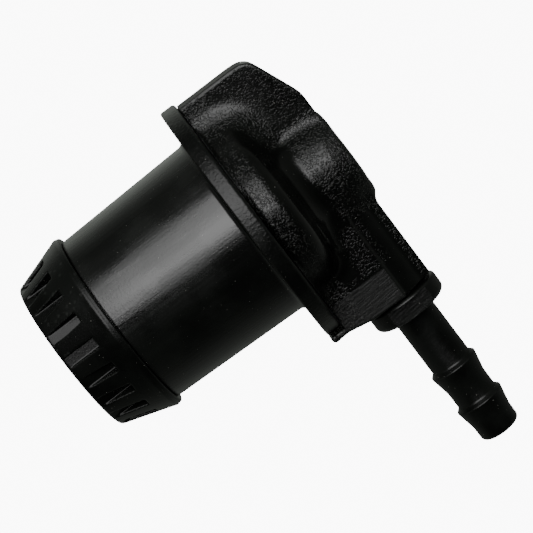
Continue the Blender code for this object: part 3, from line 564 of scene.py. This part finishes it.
ACETAL = inner_finish("natural_acetal", 140.0, (0.70, 0.68, 0.60), (0.60, 0.54, 0.42), 0.34, 0.52,
                      1800.0, 0.006, (0.78, 0.77, 0.72), Subsurface_Weight=0.08, Subsurface_Scale=0.002)
WIRE = inner_finish("spring_wire", 260.0, (0.62, 0.62, 0.60), (0.40, 0.37, 0.33), 0.2, 0.42, 5200.0, 0.004,
                    Metallic=1.0)
RUBBER = inner_finish("black_rubber", 200.0, (0.014, 0.014, 0.015), (0.04, 0.04, 0.042), 0.55, 0.8,
                      3200.0, 0.015)
SEAL_RUBBER = inner_finish("brown_rubber", 200.0, (0.085, 0.030, 0.018), (0.14, 0.07, 0.05), 0.55, 0.8,
                           3200.0, 0.015)
INNER = {
    "natural_acetal": (ACETAL, ("vent_seat", "float_body", "relief_disc", "relief_guide")),
    "rubber_black": (RUBBER, ("nipple_o_ring", "cover_o_ring", "seat_o_ring", "relief_seal")),
    "seal_rubber": (SEAL_RUBBER, ("float_seal", "vacuum_umbrella")),
    "spring_steel": (WIRE, ("float_spring", "relief_spring", "float_seal_clip")),
}
for slot_name, (material, inner_nodes) in INNER.items():
    for node in inner_nodes:
        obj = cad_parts[node]
        obj.data.materials.clear()
        obj.data.materials.append(material)
    print(slot_name, "on", ", ".join(inner_nodes))

# %% [markdown]
# A moulding has no seams where its forms meet: the web flows into the bell with the radius of the cutter that
# made the mould. Booleans leave knife edges there, and bevelling them is fragile. So the head and the cap are
# described as distances instead. Each form says how far a point is from its surface, negative inside.

# %% Distances
def grid_points(low, high, step):
    """The three coordinate grids of a box, with a margin of two steps."""
    axes = [np.arange(a - 2 * step, b + 3 * step, step, dtype=np.float32) for a, b in zip(low, high)]
    return np.meshgrid(*axes, indexing="ij")


def outline_distance(u, v, outline):
    """Signed distance from points in a plane to a closed outline."""
    nearest = np.full(u.shape, 1e6, np.float32)
    inside = np.zeros(u.shape, bool)
    for (ax, ay), (bx, by) in zip(outline, outline[1:] + outline[:1]):
        along_x, along_y = bx - ax, by - ay
        share = ((u - ax) * along_x + (v - ay) * along_y) / (along_x ** 2 + along_y ** 2)
        share = np.clip(share, 0, 1)
        nearest = np.minimum(nearest, (u - ax - share * along_x) ** 2 + (v - ay - share * along_y) ** 2)
        if ay != by:
            inside ^= ((ay > v) != (by > v)) & (u < ax + (v - ay) * along_x / along_y)
    return np.where(inside, -1, 1) * np.sqrt(nearest)


def slab(side, thick, edge):
    """An outline's distance and a second one across it, met with a rounded edge."""
    a, b = side + edge, thick + edge
    return np.minimum(np.maximum(a, b), 0) + np.hypot(np.maximum(a, 0), np.maximum(b, 0)) - edge


print("a square edge rounded by 1 mm lies", round(float(slab(0.0, 0.0, 1.0)), 2), "mm inside its corner")

# %% [markdown]
# Two forms are joined by taking the smaller of their distances, and where the two are alike the hollow
# between them is filled. To carve is the same with the signs turned round, which breaks the new edge.

# %% Joining and carving
def fuse(first, second, radius):
    """Union of two forms, with the hollow between them filled to about this radius."""
    share = np.clip(0.5 + 0.5 * (second - first) / radius, 0, 1)
    return second + (first - second) * share - radius * share * (1 - share)


def carve(form, tool, radius):
    """Take a tool's form away and break the new edge."""
    return -fuse(-form, tool, radius)


print("two surfaces fused by 1 mm gain", -float(fuse(0.0, 0.0, 1.0)), "mm where they meet")

# %% [markdown]
# A mesh has to be laid over the grid of distances. Wherever a grid line passes through the surface, the four
# cells about it share a quad, and each cell's point is the mean of its crossings. Marching cubes would do as
# well, but it leaves slivers and triangles, and these quads shade evenly.

# %% Skin
def skin(name, distance, low, step):
    """A mesh of quads over the zero surface of a grid of distances."""
    shape = distance.shape
    sums = np.zeros((3, distance.size))
    hits = np.zeros(distance.size)
    quads = []
    for axis in range(3):
        across = [(axis + 1) % 3, (axis + 2) % 3]
        near = np.moveaxis(distance, axis, 0)
        crossed = (near[:-1] < 0) != (near[1:] < 0)
        found = np.argwhere(crossed)
        first, second = near[:-1][crossed], near[1:][crossed]
        cell = np.zeros_like(found)
        cell[:, [axis] + [k for k in range(3) if k != axis]] = found
        point = cell.astype(float)
        point[:, axis] += first / (first - second)
        ring = []
        for shift in ((0, 0), (1, 0), (1, 1), (0, 1)):
            corner = cell.copy()
            corner[:, across] -= shift
            flat = np.ravel_multi_index(corner.T, shape)
            hits += np.bincount(flat, minlength=distance.size)
            for k in range(3):
                sums[k] += np.bincount(flat, point[:, k], distance.size)
            ring.append(flat)
        quad = np.stack(ring, 1)
        quads.append(np.where((first < 0)[:, None], quad, quad[:, ::-1]))
    used = hits > 0
    number = np.cumsum(used) - 1
    points = (np.array(low) - 2 * step + (sums[:, used] / hits[used]).T * step) * MM
    mesh = bpy.data.meshes.new(name)
    mesh.from_pydata(points.tolist(), [], number[np.concatenate(quads)].tolist())
    mesh.shade_smooth()
    print(f"{name}: {len(mesh.vertices)} points")
    return add_object(name, mesh)


# %% [markdown]
# The outlines below are drawn point by point. Rounded corners are arcs, and where the photograph shows a line
# that bends gently, a curve passes through a few points read from it.

# %% Arcs and curves
def quarter(centre, radius, start, end, steps=5):
    """Points on an arc between two angles in degrees."""
    turn = [math.radians(start + (end - start) * k / steps) for k in range(steps + 1)]
    return [(centre[0] + radius * math.cos(a), centre[1] + radius * math.sin(a)) for a in turn]


def smooth_line(points, steps=6):
    """A curve through the points of an open outline."""
    line = [np.array(p, float) for p in (points[0], *points, points[-1])]
    curve = []
    for a, b, c, d in zip(line, line[1:], line[2:], line[3:]):
        for k in range(steps):
            t = k / steps
            curve.append(tuple(0.5 * (2 * b + (c - a) * t + (2 * a - 5 * b + 4 * c - d) * t ** 2
                                      + (3 * b - a - 3 * c + d) * t ** 3)))
    return curve + [tuple(line[-1])]


print("an arc of five steps has", len(quarter((0.0, 0.0), 1.0, 0, 90)), "points")

# %% [markdown]
# The head is the feature that takes the most skill. Its bell is an upright wall with a rounded shoulder and a
# nearly flat top, oval in plan, on a low round plinth, and the boss grows out of it through a wide hollow.
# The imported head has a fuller, higher bell; this one follows the reflections in the photograph and stays
# within its outline. Each form is a half section, turned round its own axis.

# %% Bell, plinth, boss and crown
HEAD_STEP = 0.3                      # one cell of the grid
CLEARANCE = 0.3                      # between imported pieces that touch
head_low, head_high = box_mm("head_cover")
flange_low, flange_high = box_mm("float_housing")
BASE = flange_high.z + CLEARANCE
DEEP = BASE - 3.0                    # the forms start below the base and are cut flat there
AXIS_X, BOSS_X = 1.1, 0.6            # the crown and the boss under it stand this far towards the outlet
BELL_R, BELL_HALF_X, BELL_TOP = head_high.y, 17.0, 49.4
SHOULDER, SHOULDER_Z, DRAFT = 3.3, 45.2, 0.15
HOLLOW, FOOT_ROUND = 4.5, 0.8
BOSS_R, BOSS_TOP_R, BOSS_TOP, BOSS_EDGE = 9.8, 9.4, 61.5, 0.8


def bell_outline():
    """The bell: rounded foot, upright side, shoulder and the nearly flat top."""
    foot = quarter((BELL_R - FOOT_ROUND, BASE + FOOT_ROUND), FOOT_ROUND, -90, 0)
    shoulder = quarter((BELL_R - DRAFT - SHOULDER, SHOULDER_Z), SHOULDER, 0, 86, 8)
    top = [(BOSS_R + HOLLOW, BELL_TOP), (0.0, BELL_TOP)]
    return [(0.0, DEEP), (BELL_R - FOOT_ROUND, DEEP)] + foot + shoulder + top


def plinth_outline():
    """The low round step under the bell, which covers the sealing ring."""
    side = [(20.5, DEEP), (20.5, BASE - 0.3), (19.6, BASE + 0.1), (18.6, BASE + 0.4)]
    return [(0.0, DEEP)] + side + [(0.0, BASE + 0.5)]


def boss_outline():
    """The boss: the wide hollow at its foot, drafted side, sloping shoulder and edge."""
    foot, root = BOSS_R + HOLLOW, BELL_TOP - 2.0
    side = [(foot, root)] + quarter((foot, BELL_TOP + HOLLOW), HOLLOW, 270, 180, 8)
    side += [(BOSS_TOP_R, 58.4), (BOSS_TOP_R - 0.35, 59.7)]
    side += quarter((BOSS_TOP_R - 1.5, BOSS_TOP - BOSS_EDGE), BOSS_EDGE, 15, 90)
    return [(0.0, root)] + side + [(0.0, BOSS_TOP)]


def crown_outline():
    """The low round crown on the boss."""
    return [(0.0, 60.0), (5.4, 60.0), (5.3, BOSS_TOP), (4.9, head_high.z), (0.0, head_high.z)]


print(f"bell {2 * BELL_HALF_X:.1f} x {2 * BELL_R:.1f} mm, top at {BELL_TOP} mm; boss top at {BOSS_TOP} mm")

# %% [markdown]
# The web and the outlet block are flat plates, so they are drawn from the side and given a thickness. So is
# the skirt, which hooks over the flat of the flange and keeps the head from turning. Under the forms lie the
# chambers: the bell's own hollow with the relief chamber above it, and the bore that leads to the outlet.

# %% Web, block, skirt and chambers
WEB_HALF, WEB_TOP = 4.3, 61.2
BLOCK_START, BLOCK_HALF, BLOCK_KNEE, BLOCK_TOP = 8.0, 7.15, 47.6, 54.3
KEY_X = flange_high.x + 0.6          # the flat of the flange
CHAMBER_R, CHAMBER_TOP, BELL_WALL = 7.0, 59.5, 3.6
BORE_START, OUTLET_BORE_R, PLUG_HOLE_X, PLUG_HOLE_R = 1.0, 3.8, 17.4, 5.2


def web_outline():
    """The tall web: a rounded corner, a slope and the flat top."""
    end = head_low.x
    corner = smooth_line([(end, 53.6), (end + 0.25, 55.6), (end + 1.2, 57.1), (end + 2.7, 57.95)], 4)
    slope_end = smooth_line([(-14.2, 60.85), (-13.4, 61.08), (-12.4, WEB_TOP)], 3)
    return [(end, DEEP)] + corner + slope_end + [(AXIS_X, WEB_TOP), (AXIS_X, DEEP)]


def block_outline():
    """The outlet block, with its drafted end."""
    end = head_high.x
    face = [(end - 1.1, DEEP), (end - 1.0, BASE), (end, BLOCK_KNEE), (end, BLOCK_TOP)]
    return [(BLOCK_START, DEEP)] + face + [(BLOCK_START, BLOCK_TOP)]


def skirt_outline():
    """The skirt that hooks over the flat of the flange."""
    inner, foot, end = KEY_X + 0.15, head_low.z, head_high.x
    hook = [(inner, BASE + 1.5), (inner, foot + 0.3), (inner + 0.3, foot), (inner + 0.9, foot)]
    return hook + [(inner + 1.4, foot + 0.4), (end - 1.0, BASE), (end - 0.9, BASE + 1.5)]


def chamber_outline():
    """Half section of the bell's hollow and the relief chamber above it."""
    wall_r = BELL_HALF_X - BELL_WALL
    line = [(0.0, DEEP), (wall_r, DEEP), (wall_r, BASE + 3.2), (wall_r - 2.4, BASE + 4.0)]
    line += [(CHAMBER_R + 0.2, BELL_TOP - 2.6), (CHAMBER_R, BELL_TOP - 1.8)]
    return line + [(CHAMBER_R, CHAMBER_TOP), (0.0, CHAMBER_TOP)]


def bore_outline():
    """Half section of the outlet's bore and the nipple's socket, along X."""
    line = [(BORE_START, 0.0), (BORE_START, OUTLET_BORE_R), (PLUG_HOLE_X, OUTLET_BORE_R)]
    return line + [(PLUG_HOLE_X, PLUG_HOLE_R), (head_high.x + 2, PLUG_HOLE_R), (head_high.x + 2, 0.0)]


print(f"web {2 * WEB_HALF:.1f} mm thick, block {2 * BLOCK_HALF:.1f} mm wide, flange flat at {KEY_X:.1f} mm")

# %% [markdown]
# Now the forms are joined, each with the radius that the photograph shows. Bell and boss are fused with the
# web one by one, and the lower of the two results is kept: fused with each other, their nearly level surfaces
# would raise rings on the bell's top. The chambers are cut out last.

# %% Join the head
CONTACT = 0.03                       # where the photograph shows two pieces pressed together
DUCT_R, RIDGE_TOP = 6.4, 60.4
WEB_EDGE, BLOCK_EDGE = 0.2, 0.35
BELL_TO_WEB, BOSS_TO_WEB, CROWN_FILLET, PLINTH_FILLET = 6.0, 1.5, 0.2, 0.4
BLOCK_TO_DUCT, RIDGE_TO_DUCT, OUTLET_TO_HEAD = 0.8, 0.6, 2.4
nipple_low, nipple_high = box_mm("outlet_nipple")
OUTLET_Z = (nipple_low.z + nipple_high.z) / 2

x, y, z = grid_points(head_low, head_high, HEAD_STEP)
wide = np.abs(y)
from_axis = np.hypot(x, y)
from_outlet = np.hypot(y, z - OUTLET_Z)
bell = outline_distance(np.hypot(x * BELL_R / BELL_HALF_X, y), z, bell_outline())
plinth = outline_distance(from_axis, z, plinth_outline())
web = slab(outline_distance(x, z, web_outline()), wide - WEB_HALF, WEB_EDGE)
boss = outline_distance(np.hypot(x - BOSS_X, y), z, boss_outline())
crown = outline_distance(np.hypot(x - AXIS_X, y), z, crown_outline())
form = np.minimum(fuse(bell, web, BELL_TO_WEB), fuse(boss, web, BOSS_TO_WEB))
form = fuse(form, crown, CROWN_FILLET)
form = fuse(form, plinth, PLINTH_FILLET)

ridge_end = head_high.x - 0.3
ridge_side = [(AXIS_X, OUTLET_Z), (ridge_end, OUTLET_Z), (ridge_end, RIDGE_TOP), (AXIS_X, RIDGE_TOP)]
block = slab(outline_distance(x, z, block_outline()), wide - BLOCK_HALF, BLOCK_EDGE)
duct = np.maximum(from_outlet - DUCT_R, np.maximum(AXIS_X - x, x - head_high.x + 0.1))
ridge = slab(outline_distance(x, z, ridge_side), wide - WEB_HALF, BLOCK_EDGE)
outlet = fuse(fuse(block, duct, BLOCK_TO_DUCT), ridge, RIDGE_TO_DUCT)
form = fuse(form, outlet, OUTLET_TO_HEAD)

form = np.maximum(form, np.maximum(flange_high.z + CONTACT - z, z - head_high.z))
skirt = slab(outline_distance(x, z, skirt_outline()), wide - BLOCK_HALF + 0.1, WEB_EDGE)
form = np.minimum(form, skirt)
hollow = outline_distance(from_axis, z, chamber_outline())
bore = outline_distance(x, from_outlet, bore_outline())
form = np.maximum(form, -np.minimum(hollow, bore))
head = skin("moulded_head", form, head_low, HEAD_STEP)

# %% [markdown]
# Where the mould was eroded is a matter of place: the web's sides, the ridge, the patch between bell and pad,
# the strip by the pad, the boss and the bell's side. The pad and the web's end were polished instead. We
# write a number from 0 to 1 on every point, and the finish reads it.

# %% Mark the head's zones
PAD_START = 20.0                     # where the smooth pad on the block begins


def soft_step(value, start, end):
    """0 before start, 1 after end, smooth between them."""
    share = np.clip((value - start) / (end - start), 0, 1)
    return share * share * (3 - 2 * share)


def place_of_points(obj):
    """The coordinates of a mesh's points in millimetres, as three arrays."""
    co = np.zeros(len(obj.data.vertices) * 3, np.float32)
    obj.data.vertices.foreach_get("co", co)
    return co.reshape(-1, 3).T / MM


def paint_mask(obj, name, values):
    """Store a number from 0 to 1 on each point, for the finish to read."""
    layer = obj.data.attributes.new(name, "FLOAT", "POINT")
    layer.data.foreach_set("value", np.clip(values, 0.0, 1.0).astype(np.float32))
    print(f"{obj.name}, {name}: {values.mean():.2f} of the points")


def head_masks(obj):
    """Paint the eroded and the polished zones of the head."""
    px, py, pz = place_of_points(obj)
    side = np.abs(py)
    radius = np.hypot(px - BOSS_X, py)
    before_pad = soft_step(PAD_START - px, 0.0, 0.4)
    on_web = soft_step(-px, 7.5, 9.0) * soft_step(WEB_HALF + 3.4 - side, 0.0, 1.2)
    on_web *= 0.25 + 0.6 * soft_step(side, WEB_HALF + 0.05, WEB_HALF + 0.5)
    on_ridge = soft_step(px, 8.0, 10.0) * soft_step(pz, 58.6, 58.9) * 0.4
    on_patch = soft_step(px, 8.5, 11.0) * soft_step(pz, 49.0, 51.0) * soft_step(57.0 - pz, 0.0, 1.5)
    on_patch *= soft_step(side, 4.6, 5.2) * before_pad * 0.4
    by_pad = soft_step(px, 18.0, 19.0) * before_pad * soft_step(side, 6.0, 6.8) * 0.4
    on_boss = soft_step(pz, 52.5, 54.5) * soft_step(11.8 - radius, 0.0, 1.0)
    on_bell = soft_step(47.5 - pz, 0.0, 2.0) * 0.9
    paint_mask(obj, "eroded", np.maximum.reduce([on_web, on_ridge, on_patch, by_pad, on_boss, on_bell]))
    on_pad = soft_step(px, PAD_START, PAD_START + 0.3) * soft_step(side, BLOCK_HALF - 0.15, BLOCK_HALF - 0.05)
    on_end = soft_step(head_low.x + 0.35 - px, 0.0, 0.15)
    paint_mask(obj, "polished", np.maximum(on_pad, on_end))


def finish_piece(obj, material, node, body="valve"):
    """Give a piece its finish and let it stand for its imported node."""
    obj.data.materials.clear()
    obj.data.materials.append(material)
    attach(obj, body)
    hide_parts(node)


head_masks(head)
finish_piece(head, HEAD_PLASTIC, "head_cover")

# %% [markdown]
# The end cap is a turned cone with twenty straight slots, and its socket snaps over the housing's spigot.
# It could be turned and then cut twenty times, but as distances the slots come in one stroke, with their
# edges broken. First the turned form: cone, lip, socket, bore and the post for the float's spring.

# %% Outline of the end cap
CAP_STEP = 0.2                       # one cell of the grid
cap_low, cap_high = box_mm("slotted_end_cap")
SOCKET_R, SOCKET_DEPTH, SNAP_RISE = 16.4, 3.3, 0.25
CAP_FLOOR, BORE_R = 1.8, 12.9
POST_R, POST_TOP = 3.2, 9.5
LIP_CORNER = 0.14


def cap_outline():
    """Half section of the cap: cone, upright lip, snap socket, bore and the post for the float's spring."""
    top, r, snap_r = cap_high.z, cap_high.y, SOCKET_R + SNAP_RISE
    foot = smooth_line([(14.5, 0.0), (14.9, 0.1), (15.2, 0.35), (15.42, 0.9)], 3)
    lip = [(r - 0.34, top - 2.0), (r - 0.1, top - 1.35), (r, top - 1.0), (r - 0.12, top - 0.6)]
    lip = smooth_line(lip, 3)
    lip += quarter((r - 0.35, top - LIP_CORNER), LIP_CORNER, 10, 90, 4)
    snap, shelf = top - SOCKET_DEPTH / 2, top - SOCKET_DEPTH
    socket = [(SOCKET_R, top), (SOCKET_R, snap + 0.8), (snap_r, snap + 0.4), (snap_r, snap - 0.4)]
    socket += [(SOCKET_R, snap - 0.8), (SOCKET_R, shelf), (BORE_R, shelf)]
    floor_line = [(BORE_R - 0.2, CAP_FLOOR + 0.6), (BORE_R - 0.8, CAP_FLOOR), (POST_R + 0.5, CAP_FLOOR)]
    post = [(POST_R, CAP_FLOOR + 0.5), (POST_R - 0.2, POST_TOP - 0.6), (POST_R - 0.9, POST_TOP)]
    return [(0.0, 0.0)] + foot + lip + socket + floor_line + post + [(0.0, POST_TOP)]


print(f"cap {2 * cap_high.y:.1f} mm across its lip, {cap_high.z:.1f} mm high")

# %% [markdown]
# One slot is described once, in a sector that repeats round the axis, and the same trick gives the eight
# inlets in the floor and the passages beside the bore. The slots' walls are parallel, and their floors are
# upright, which is why they catch the soft box while the cone around them stays dark.

# %% Slots and inlets
SLOTS, SLOT_WIDTH, SLOT_TOP, SLOT_FLOOR_R, SLOT_EDGE = 20, 2.1, 6.9, 15.2, 0.15
SLOT_PHASE = math.radians(-90 - 6.25)
INLETS, INLET_INNER_R, INLET_OUTER_R, SPOKE, INLET_EDGE = 8, 5.6, 11.4, 2.2, 0.2
PASSAGE_R, PASSAGE_LIFT = 1.2, 1.4


def in_sector(angle, count, phase):
    """The angle from the middle of the nearest of several equal sectors."""
    width = math.tau / count
    return (angle - phase + width / 2) % width - width / 2


x, y, z = grid_points(cap_low, cap_high, CAP_STEP)
radius, angle = np.hypot(x, y), np.arctan2(y, x)
form = outline_distance(radius, z, cap_outline())
turned = in_sector(angle, SLOTS, SLOT_PHASE)
reach, lateral = radius * np.cos(turned), np.abs(radius * np.sin(turned))
slot_form = np.maximum(np.maximum(SLOT_FLOOR_R - reach, lateral - SLOT_WIDTH / 2), z - SLOT_TOP)
form = carve(form, slot_form, SLOT_EDGE)
turned = in_sector(angle, INLETS, math.pi / INLETS)
spoke = SPOKE / 2 - radius * np.abs(np.sin(turned))
window = np.maximum(INLET_INNER_R - radius, radius - INLET_OUTER_R)
inlet = np.maximum(window, np.maximum(spoke, z - CAP_FLOOR - 1))
form = carve(form, inlet, INLET_EDGE)
reach, lateral = radius * np.cos(turned), radius * np.sin(turned)
passage = np.hypot(reach - BORE_R - PASSAGE_R / 2, lateral) - PASSAGE_R
form = np.maximum(form, -np.maximum(passage, CAP_FLOOR + PASSAGE_LIFT - z))
cap = skin("slotted_cap", form, cap_low, CAP_STEP)
finish_piece(cap, CAP_PLASTIC, "slotted_end_cap")

# %% [markdown]
# The housing and the nipple are turned shapes, so a lathe is the natural tool: an outline spun round an axis.
# Fine steps round the axis keep the flange's edge round in the picture. Flats and ribs are plain boxes, and
# on these simple forms a boolean cuts or joins them cleanly.

# %% Lathe and tools
ROUND = 192                          # steps round the axis
CRISP = math.radians(35.0)           # edges sharper than this stay crisp


def lathe(name, outline, axis, height=0.0, steps=ROUND):
    """Spin a closed outline of (radius, place) points, in millimetres, round the Z or the X axis."""
    edit = bmesh.new()
    up, side = Vector((0, 0, 1)), Vector((1, 0, 0))
    along, out = (up, side) if axis == "Z" else (side, up)
    centre = Vector((0, 0, height)) * MM
    verts = [edit.verts.new(centre + (out * r + along * place) * MM) for r, place in outline]
    edges = [edit.edges.new(pair) for pair in zip(verts, verts[1:] + verts[:1])]
    bmesh.ops.spin(edit, geom=verts + edges, cent=centre, axis=along, angle=math.tau, steps=steps,
                   use_merge=True)
    bmesh.ops.remove_doubles(edit, verts=edit.verts, dist=0.002 * MM)
    bmesh.ops.recalc_face_normals(edit, faces=edit.faces)
    return object_of(edit, name)


def tool_box(low, high, turn=0.0):
    """A plain box between two corners, turned round the valve's axis, to cut or join with."""
    edit = bmesh.new()
    bmesh.ops.create_cube(edit, size=1.0)
    size, middle = (Vector(high) - Vector(low)) * MM, (Vector(high) + Vector(low)) / 2 * MM
    place = Matrix.Rotation(turn, 4, "Z") @ Matrix.Translation(middle) @ Matrix.Diagonal((*size, 1.0))
    bmesh.ops.transform(edit, matrix=place, verts=edit.verts)
    return object_of(edit, "tool")


def object_of(edit, name):
    """End an edit and put its mesh in the scene as an object."""
    mesh = bpy.data.meshes.new(name)
    edit.to_mesh(mesh)
    edit.free()
    return add_object(name, mesh)


def combine(target, tool, operation):
    """Cut a tool from a piece or join it, and remove the tool."""
    modifier = target.modifiers.new(operation, "BOOLEAN")
    modifier.operation, modifier.object = operation, tool
    ready = target.evaluated_get(bpy.context.evaluated_depsgraph_get())
    mesh = bpy.data.meshes.new_from_object(ready)
    target.modifiers.clear()
    target.data = mesh
    bpy.data.objects.remove(tool)


def shade(obj):
    """Smooth shading that stays crisp at sharper edges."""
    obj.data.shade_smooth()
    obj.data.set_sharp_from_angle(angle=CRISP)
    print(f"{obj.name}: {len(obj.data.polygons)} faces")


print("lathe of", ROUND, "steps ready")

# %% [markdown]
# The housing is a tapered tube. Its spigot snaps into the cap, its flange has one flat for the head's skirt,
# and six ribs inside guide the float. The flange is part of the same turning, so its duller finish is a
# second material, given to the faces by their height.

# %% Housing
BODY_LOW_R, BODY_TOP_R, BODY_START, BODY_FILLET = 17.2, 18.05, 0.12, 1.1
SPIGOT_R, BEAD_RISE = 16.1, 0.25
FLANGE_R, FLANGE_THICK, FLANGE_LOW_EDGE, FLANGE_TOP_EDGE = 24.85, 3.1, 0.4, 0.7
FLANGE_FINISH_DEPTH = 3.15           # the second finish reaches just under the flange
RIBS, RIB_R, RIB_HALF = 6, 14.3, 0.8
TOOL_REACH = 30.0                    # well outside the valve


def housing_outline():
    """Section: spigot with its snap bead, tapered body, fillet, flange and the seat's pocket."""
    top, low, flange = flange_high.z, flange_low.z, flange_high.z - FLANGE_THICK
    body_low, bead, bead_r = cap_high.z + BODY_START, cap_high.z - SOCKET_DEPTH / 2, SPIGOT_R + BEAD_RISE
    line = [(SPIGOT_R - 1.2, low), (SPIGOT_R - 0.3, low), (SPIGOT_R, low + 0.3), (SPIGOT_R, bead - 0.55)]
    line += [(bead_r, bead - 0.25), (bead_r, bead + 0.25), (SPIGOT_R, bead + 0.55), (SPIGOT_R, body_low)]
    line += quarter((BODY_LOW_R - BODY_START, body_low + BODY_START), BODY_START, -90, 0, 3)
    line += quarter((BODY_TOP_R + BODY_FILLET, flange - BODY_FILLET), BODY_FILLET, 180, 90, 8)
    line += quarter((FLANGE_R - FLANGE_LOW_EDGE, flange + FLANGE_LOW_EDGE), FLANGE_LOW_EDGE, -90, 0)
    line += quarter((FLANGE_R - FLANGE_TOP_EDGE, top - FLANGE_TOP_EDGE), FLANGE_TOP_EDGE, 0, 90)
    line += [(20.25, top), (20.25, top - 1.9), (18.15, top - 1.9), (18.15, top), (10.6, top)]
    line += [(10.6, top - 1.6), (9.3, top - 1.6), (9.3, top - 2.6), (14.9, top - 2.6), (15.9, top - 3.6)]
    return line


housing = lathe("flanged_housing", housing_outline(), "Z")
rib_low = (RIB_R, -RIB_HALF, cap_high.z + CLEARANCE)
rib_high = (16.5, RIB_HALF, flange_high.z - 4.0)
for k in range(RIBS):
    combine(housing, tool_box(rib_low, rib_high, math.tau * k / RIBS), "UNION")
key_low = (KEY_X, -TOOL_REACH, flange_high.z - 5.0)
key_high = (TOOL_REACH, TOOL_REACH, flange_high.z + 1.0)
combine(housing, tool_box(key_low, key_high), "DIFFERENCE")
shade(housing)
finish_piece(housing, HOUSING_PLASTIC, "float_housing")
housing.data.materials.append(FLANGE_PLASTIC)
for face in housing.data.polygons:
    face.material_index = int(face.center.z / MM > flange_high.z - FLANGE_FINISH_DEPTH)

# %% [markdown]
# The nipple is turned round the X axis: a grooved spigot that carries the sealing ring, a collar that stops
# against the head, and a hose tail with two barbs, steep on the collar's side so that they hold the hose.
# The collar has two flats, which stop short of its face, and they are where the polish marks show.

# %% Nipple
HOSE_R, BARB_R, NIPPLE_BORE_R, TIP_ROUND = 4.0, 4.75, 2.5, 1.0
BARBS = (43.6, 51.6)                 # the crests of the two barbs
PLUG_R, GROOVE_R, GROOVE_HALF = 4.9, 3.5, 0.85
COLLAR_R, COLLAR_FLAT, COLLAR_RIM, COLLAR_CUT = 7.25, 5.95, 0.5, 3.7
FACE_ROUND, BACK_ROUND, TAIL_ROUND = 0.7, 1.3, 0.6
CUT_REACH = 9.0                      # just outside the collar


def nipple_outline():
    """Section along X: grooved spigot, collar, hose tail with two barbs and a rounded tip."""
    collar, tip = head_high.x + CLEARANCE, nipple_high.x
    ring_low, ring_high = box_mm("nipple_o_ring")
    ring_x = (ring_low.x + ring_high.x) / 2
    line = [(NIPPLE_BORE_R, nipple_low.x), (4.4, nipple_low.x), (PLUG_R, nipple_low.x + 0.5)]
    line += [(PLUG_R, ring_x - GROOVE_HALF), (GROOVE_R, ring_x - GROOVE_HALF)]
    line += [(GROOVE_R, ring_x + GROOVE_HALF), (PLUG_R, ring_x + GROOVE_HALF), (PLUG_R, collar)]
    line += quarter((COLLAR_R - FACE_ROUND, collar + FACE_ROUND), FACE_ROUND, -90, 0)
    line += quarter((COLLAR_R - BACK_ROUND, collar + 2.6), BACK_ROUND, 0, 90, 7)
    line += quarter((HOSE_R + TAIL_ROUND, collar + 4.5), TAIL_ROUND, 270, 180)
    for barb in BARBS:
        crest = [(HOSE_R + 0.08, barb - 0.7), (BARB_R - 0.25, barb - 0.28), (BARB_R, barb)]
        crest += [(BARB_R - 0.05, barb + 0.4)]
        line += [(HOSE_R, barb - 1.0)] + smooth_line(crest, 3) + [(HOSE_R + 0.03, barb + 3.9)]
    line += quarter((HOSE_R - TIP_ROUND, tip - TIP_ROUND), TIP_ROUND, 0, 90, 7)
    return line + [(NIPPLE_BORE_R + 0.3, tip), (NIPPLE_BORE_R, tip - 0.3)]


nipple = lathe("barbed_nipple", nipple_outline(), "X", OUTLET_Z, 96)
start_x = head_high.x + CLEARANCE + COLLAR_RIM
for side in (-1, 1):
    near, far = sorted((side * COLLAR_FLAT, side * CUT_REACH))
    flat_low = (start_x, near, OUTLET_Z - CUT_REACH)
    flat_high = (start_x + COLLAR_CUT, far, OUTLET_Z + CUT_REACH)
    combine(nipple, tool_box(flat_low, flat_high), "DIFFERENCE")
shade(nipple)
px, py, pz = place_of_points(nipple)
on_flat = soft_step(np.abs(py), COLLAR_FLAT - 0.1, COLLAR_FLAT - 0.01)
on_flat *= soft_step(COLLAR_FLAT + 0.1 - np.abs(py), 0.0, 0.09)
paint_mask(nipple, "polished", on_flat)
finish_piece(nipple, NIPPLE_PLASTIC, "outlet_nipple")

# %% [markdown]
# Last we print the box of the imported model, as plain numbers.

# %% Sizes and end
print("packed box", [round(v / MM, 2) for v in (*cad_low, *cad_high)])
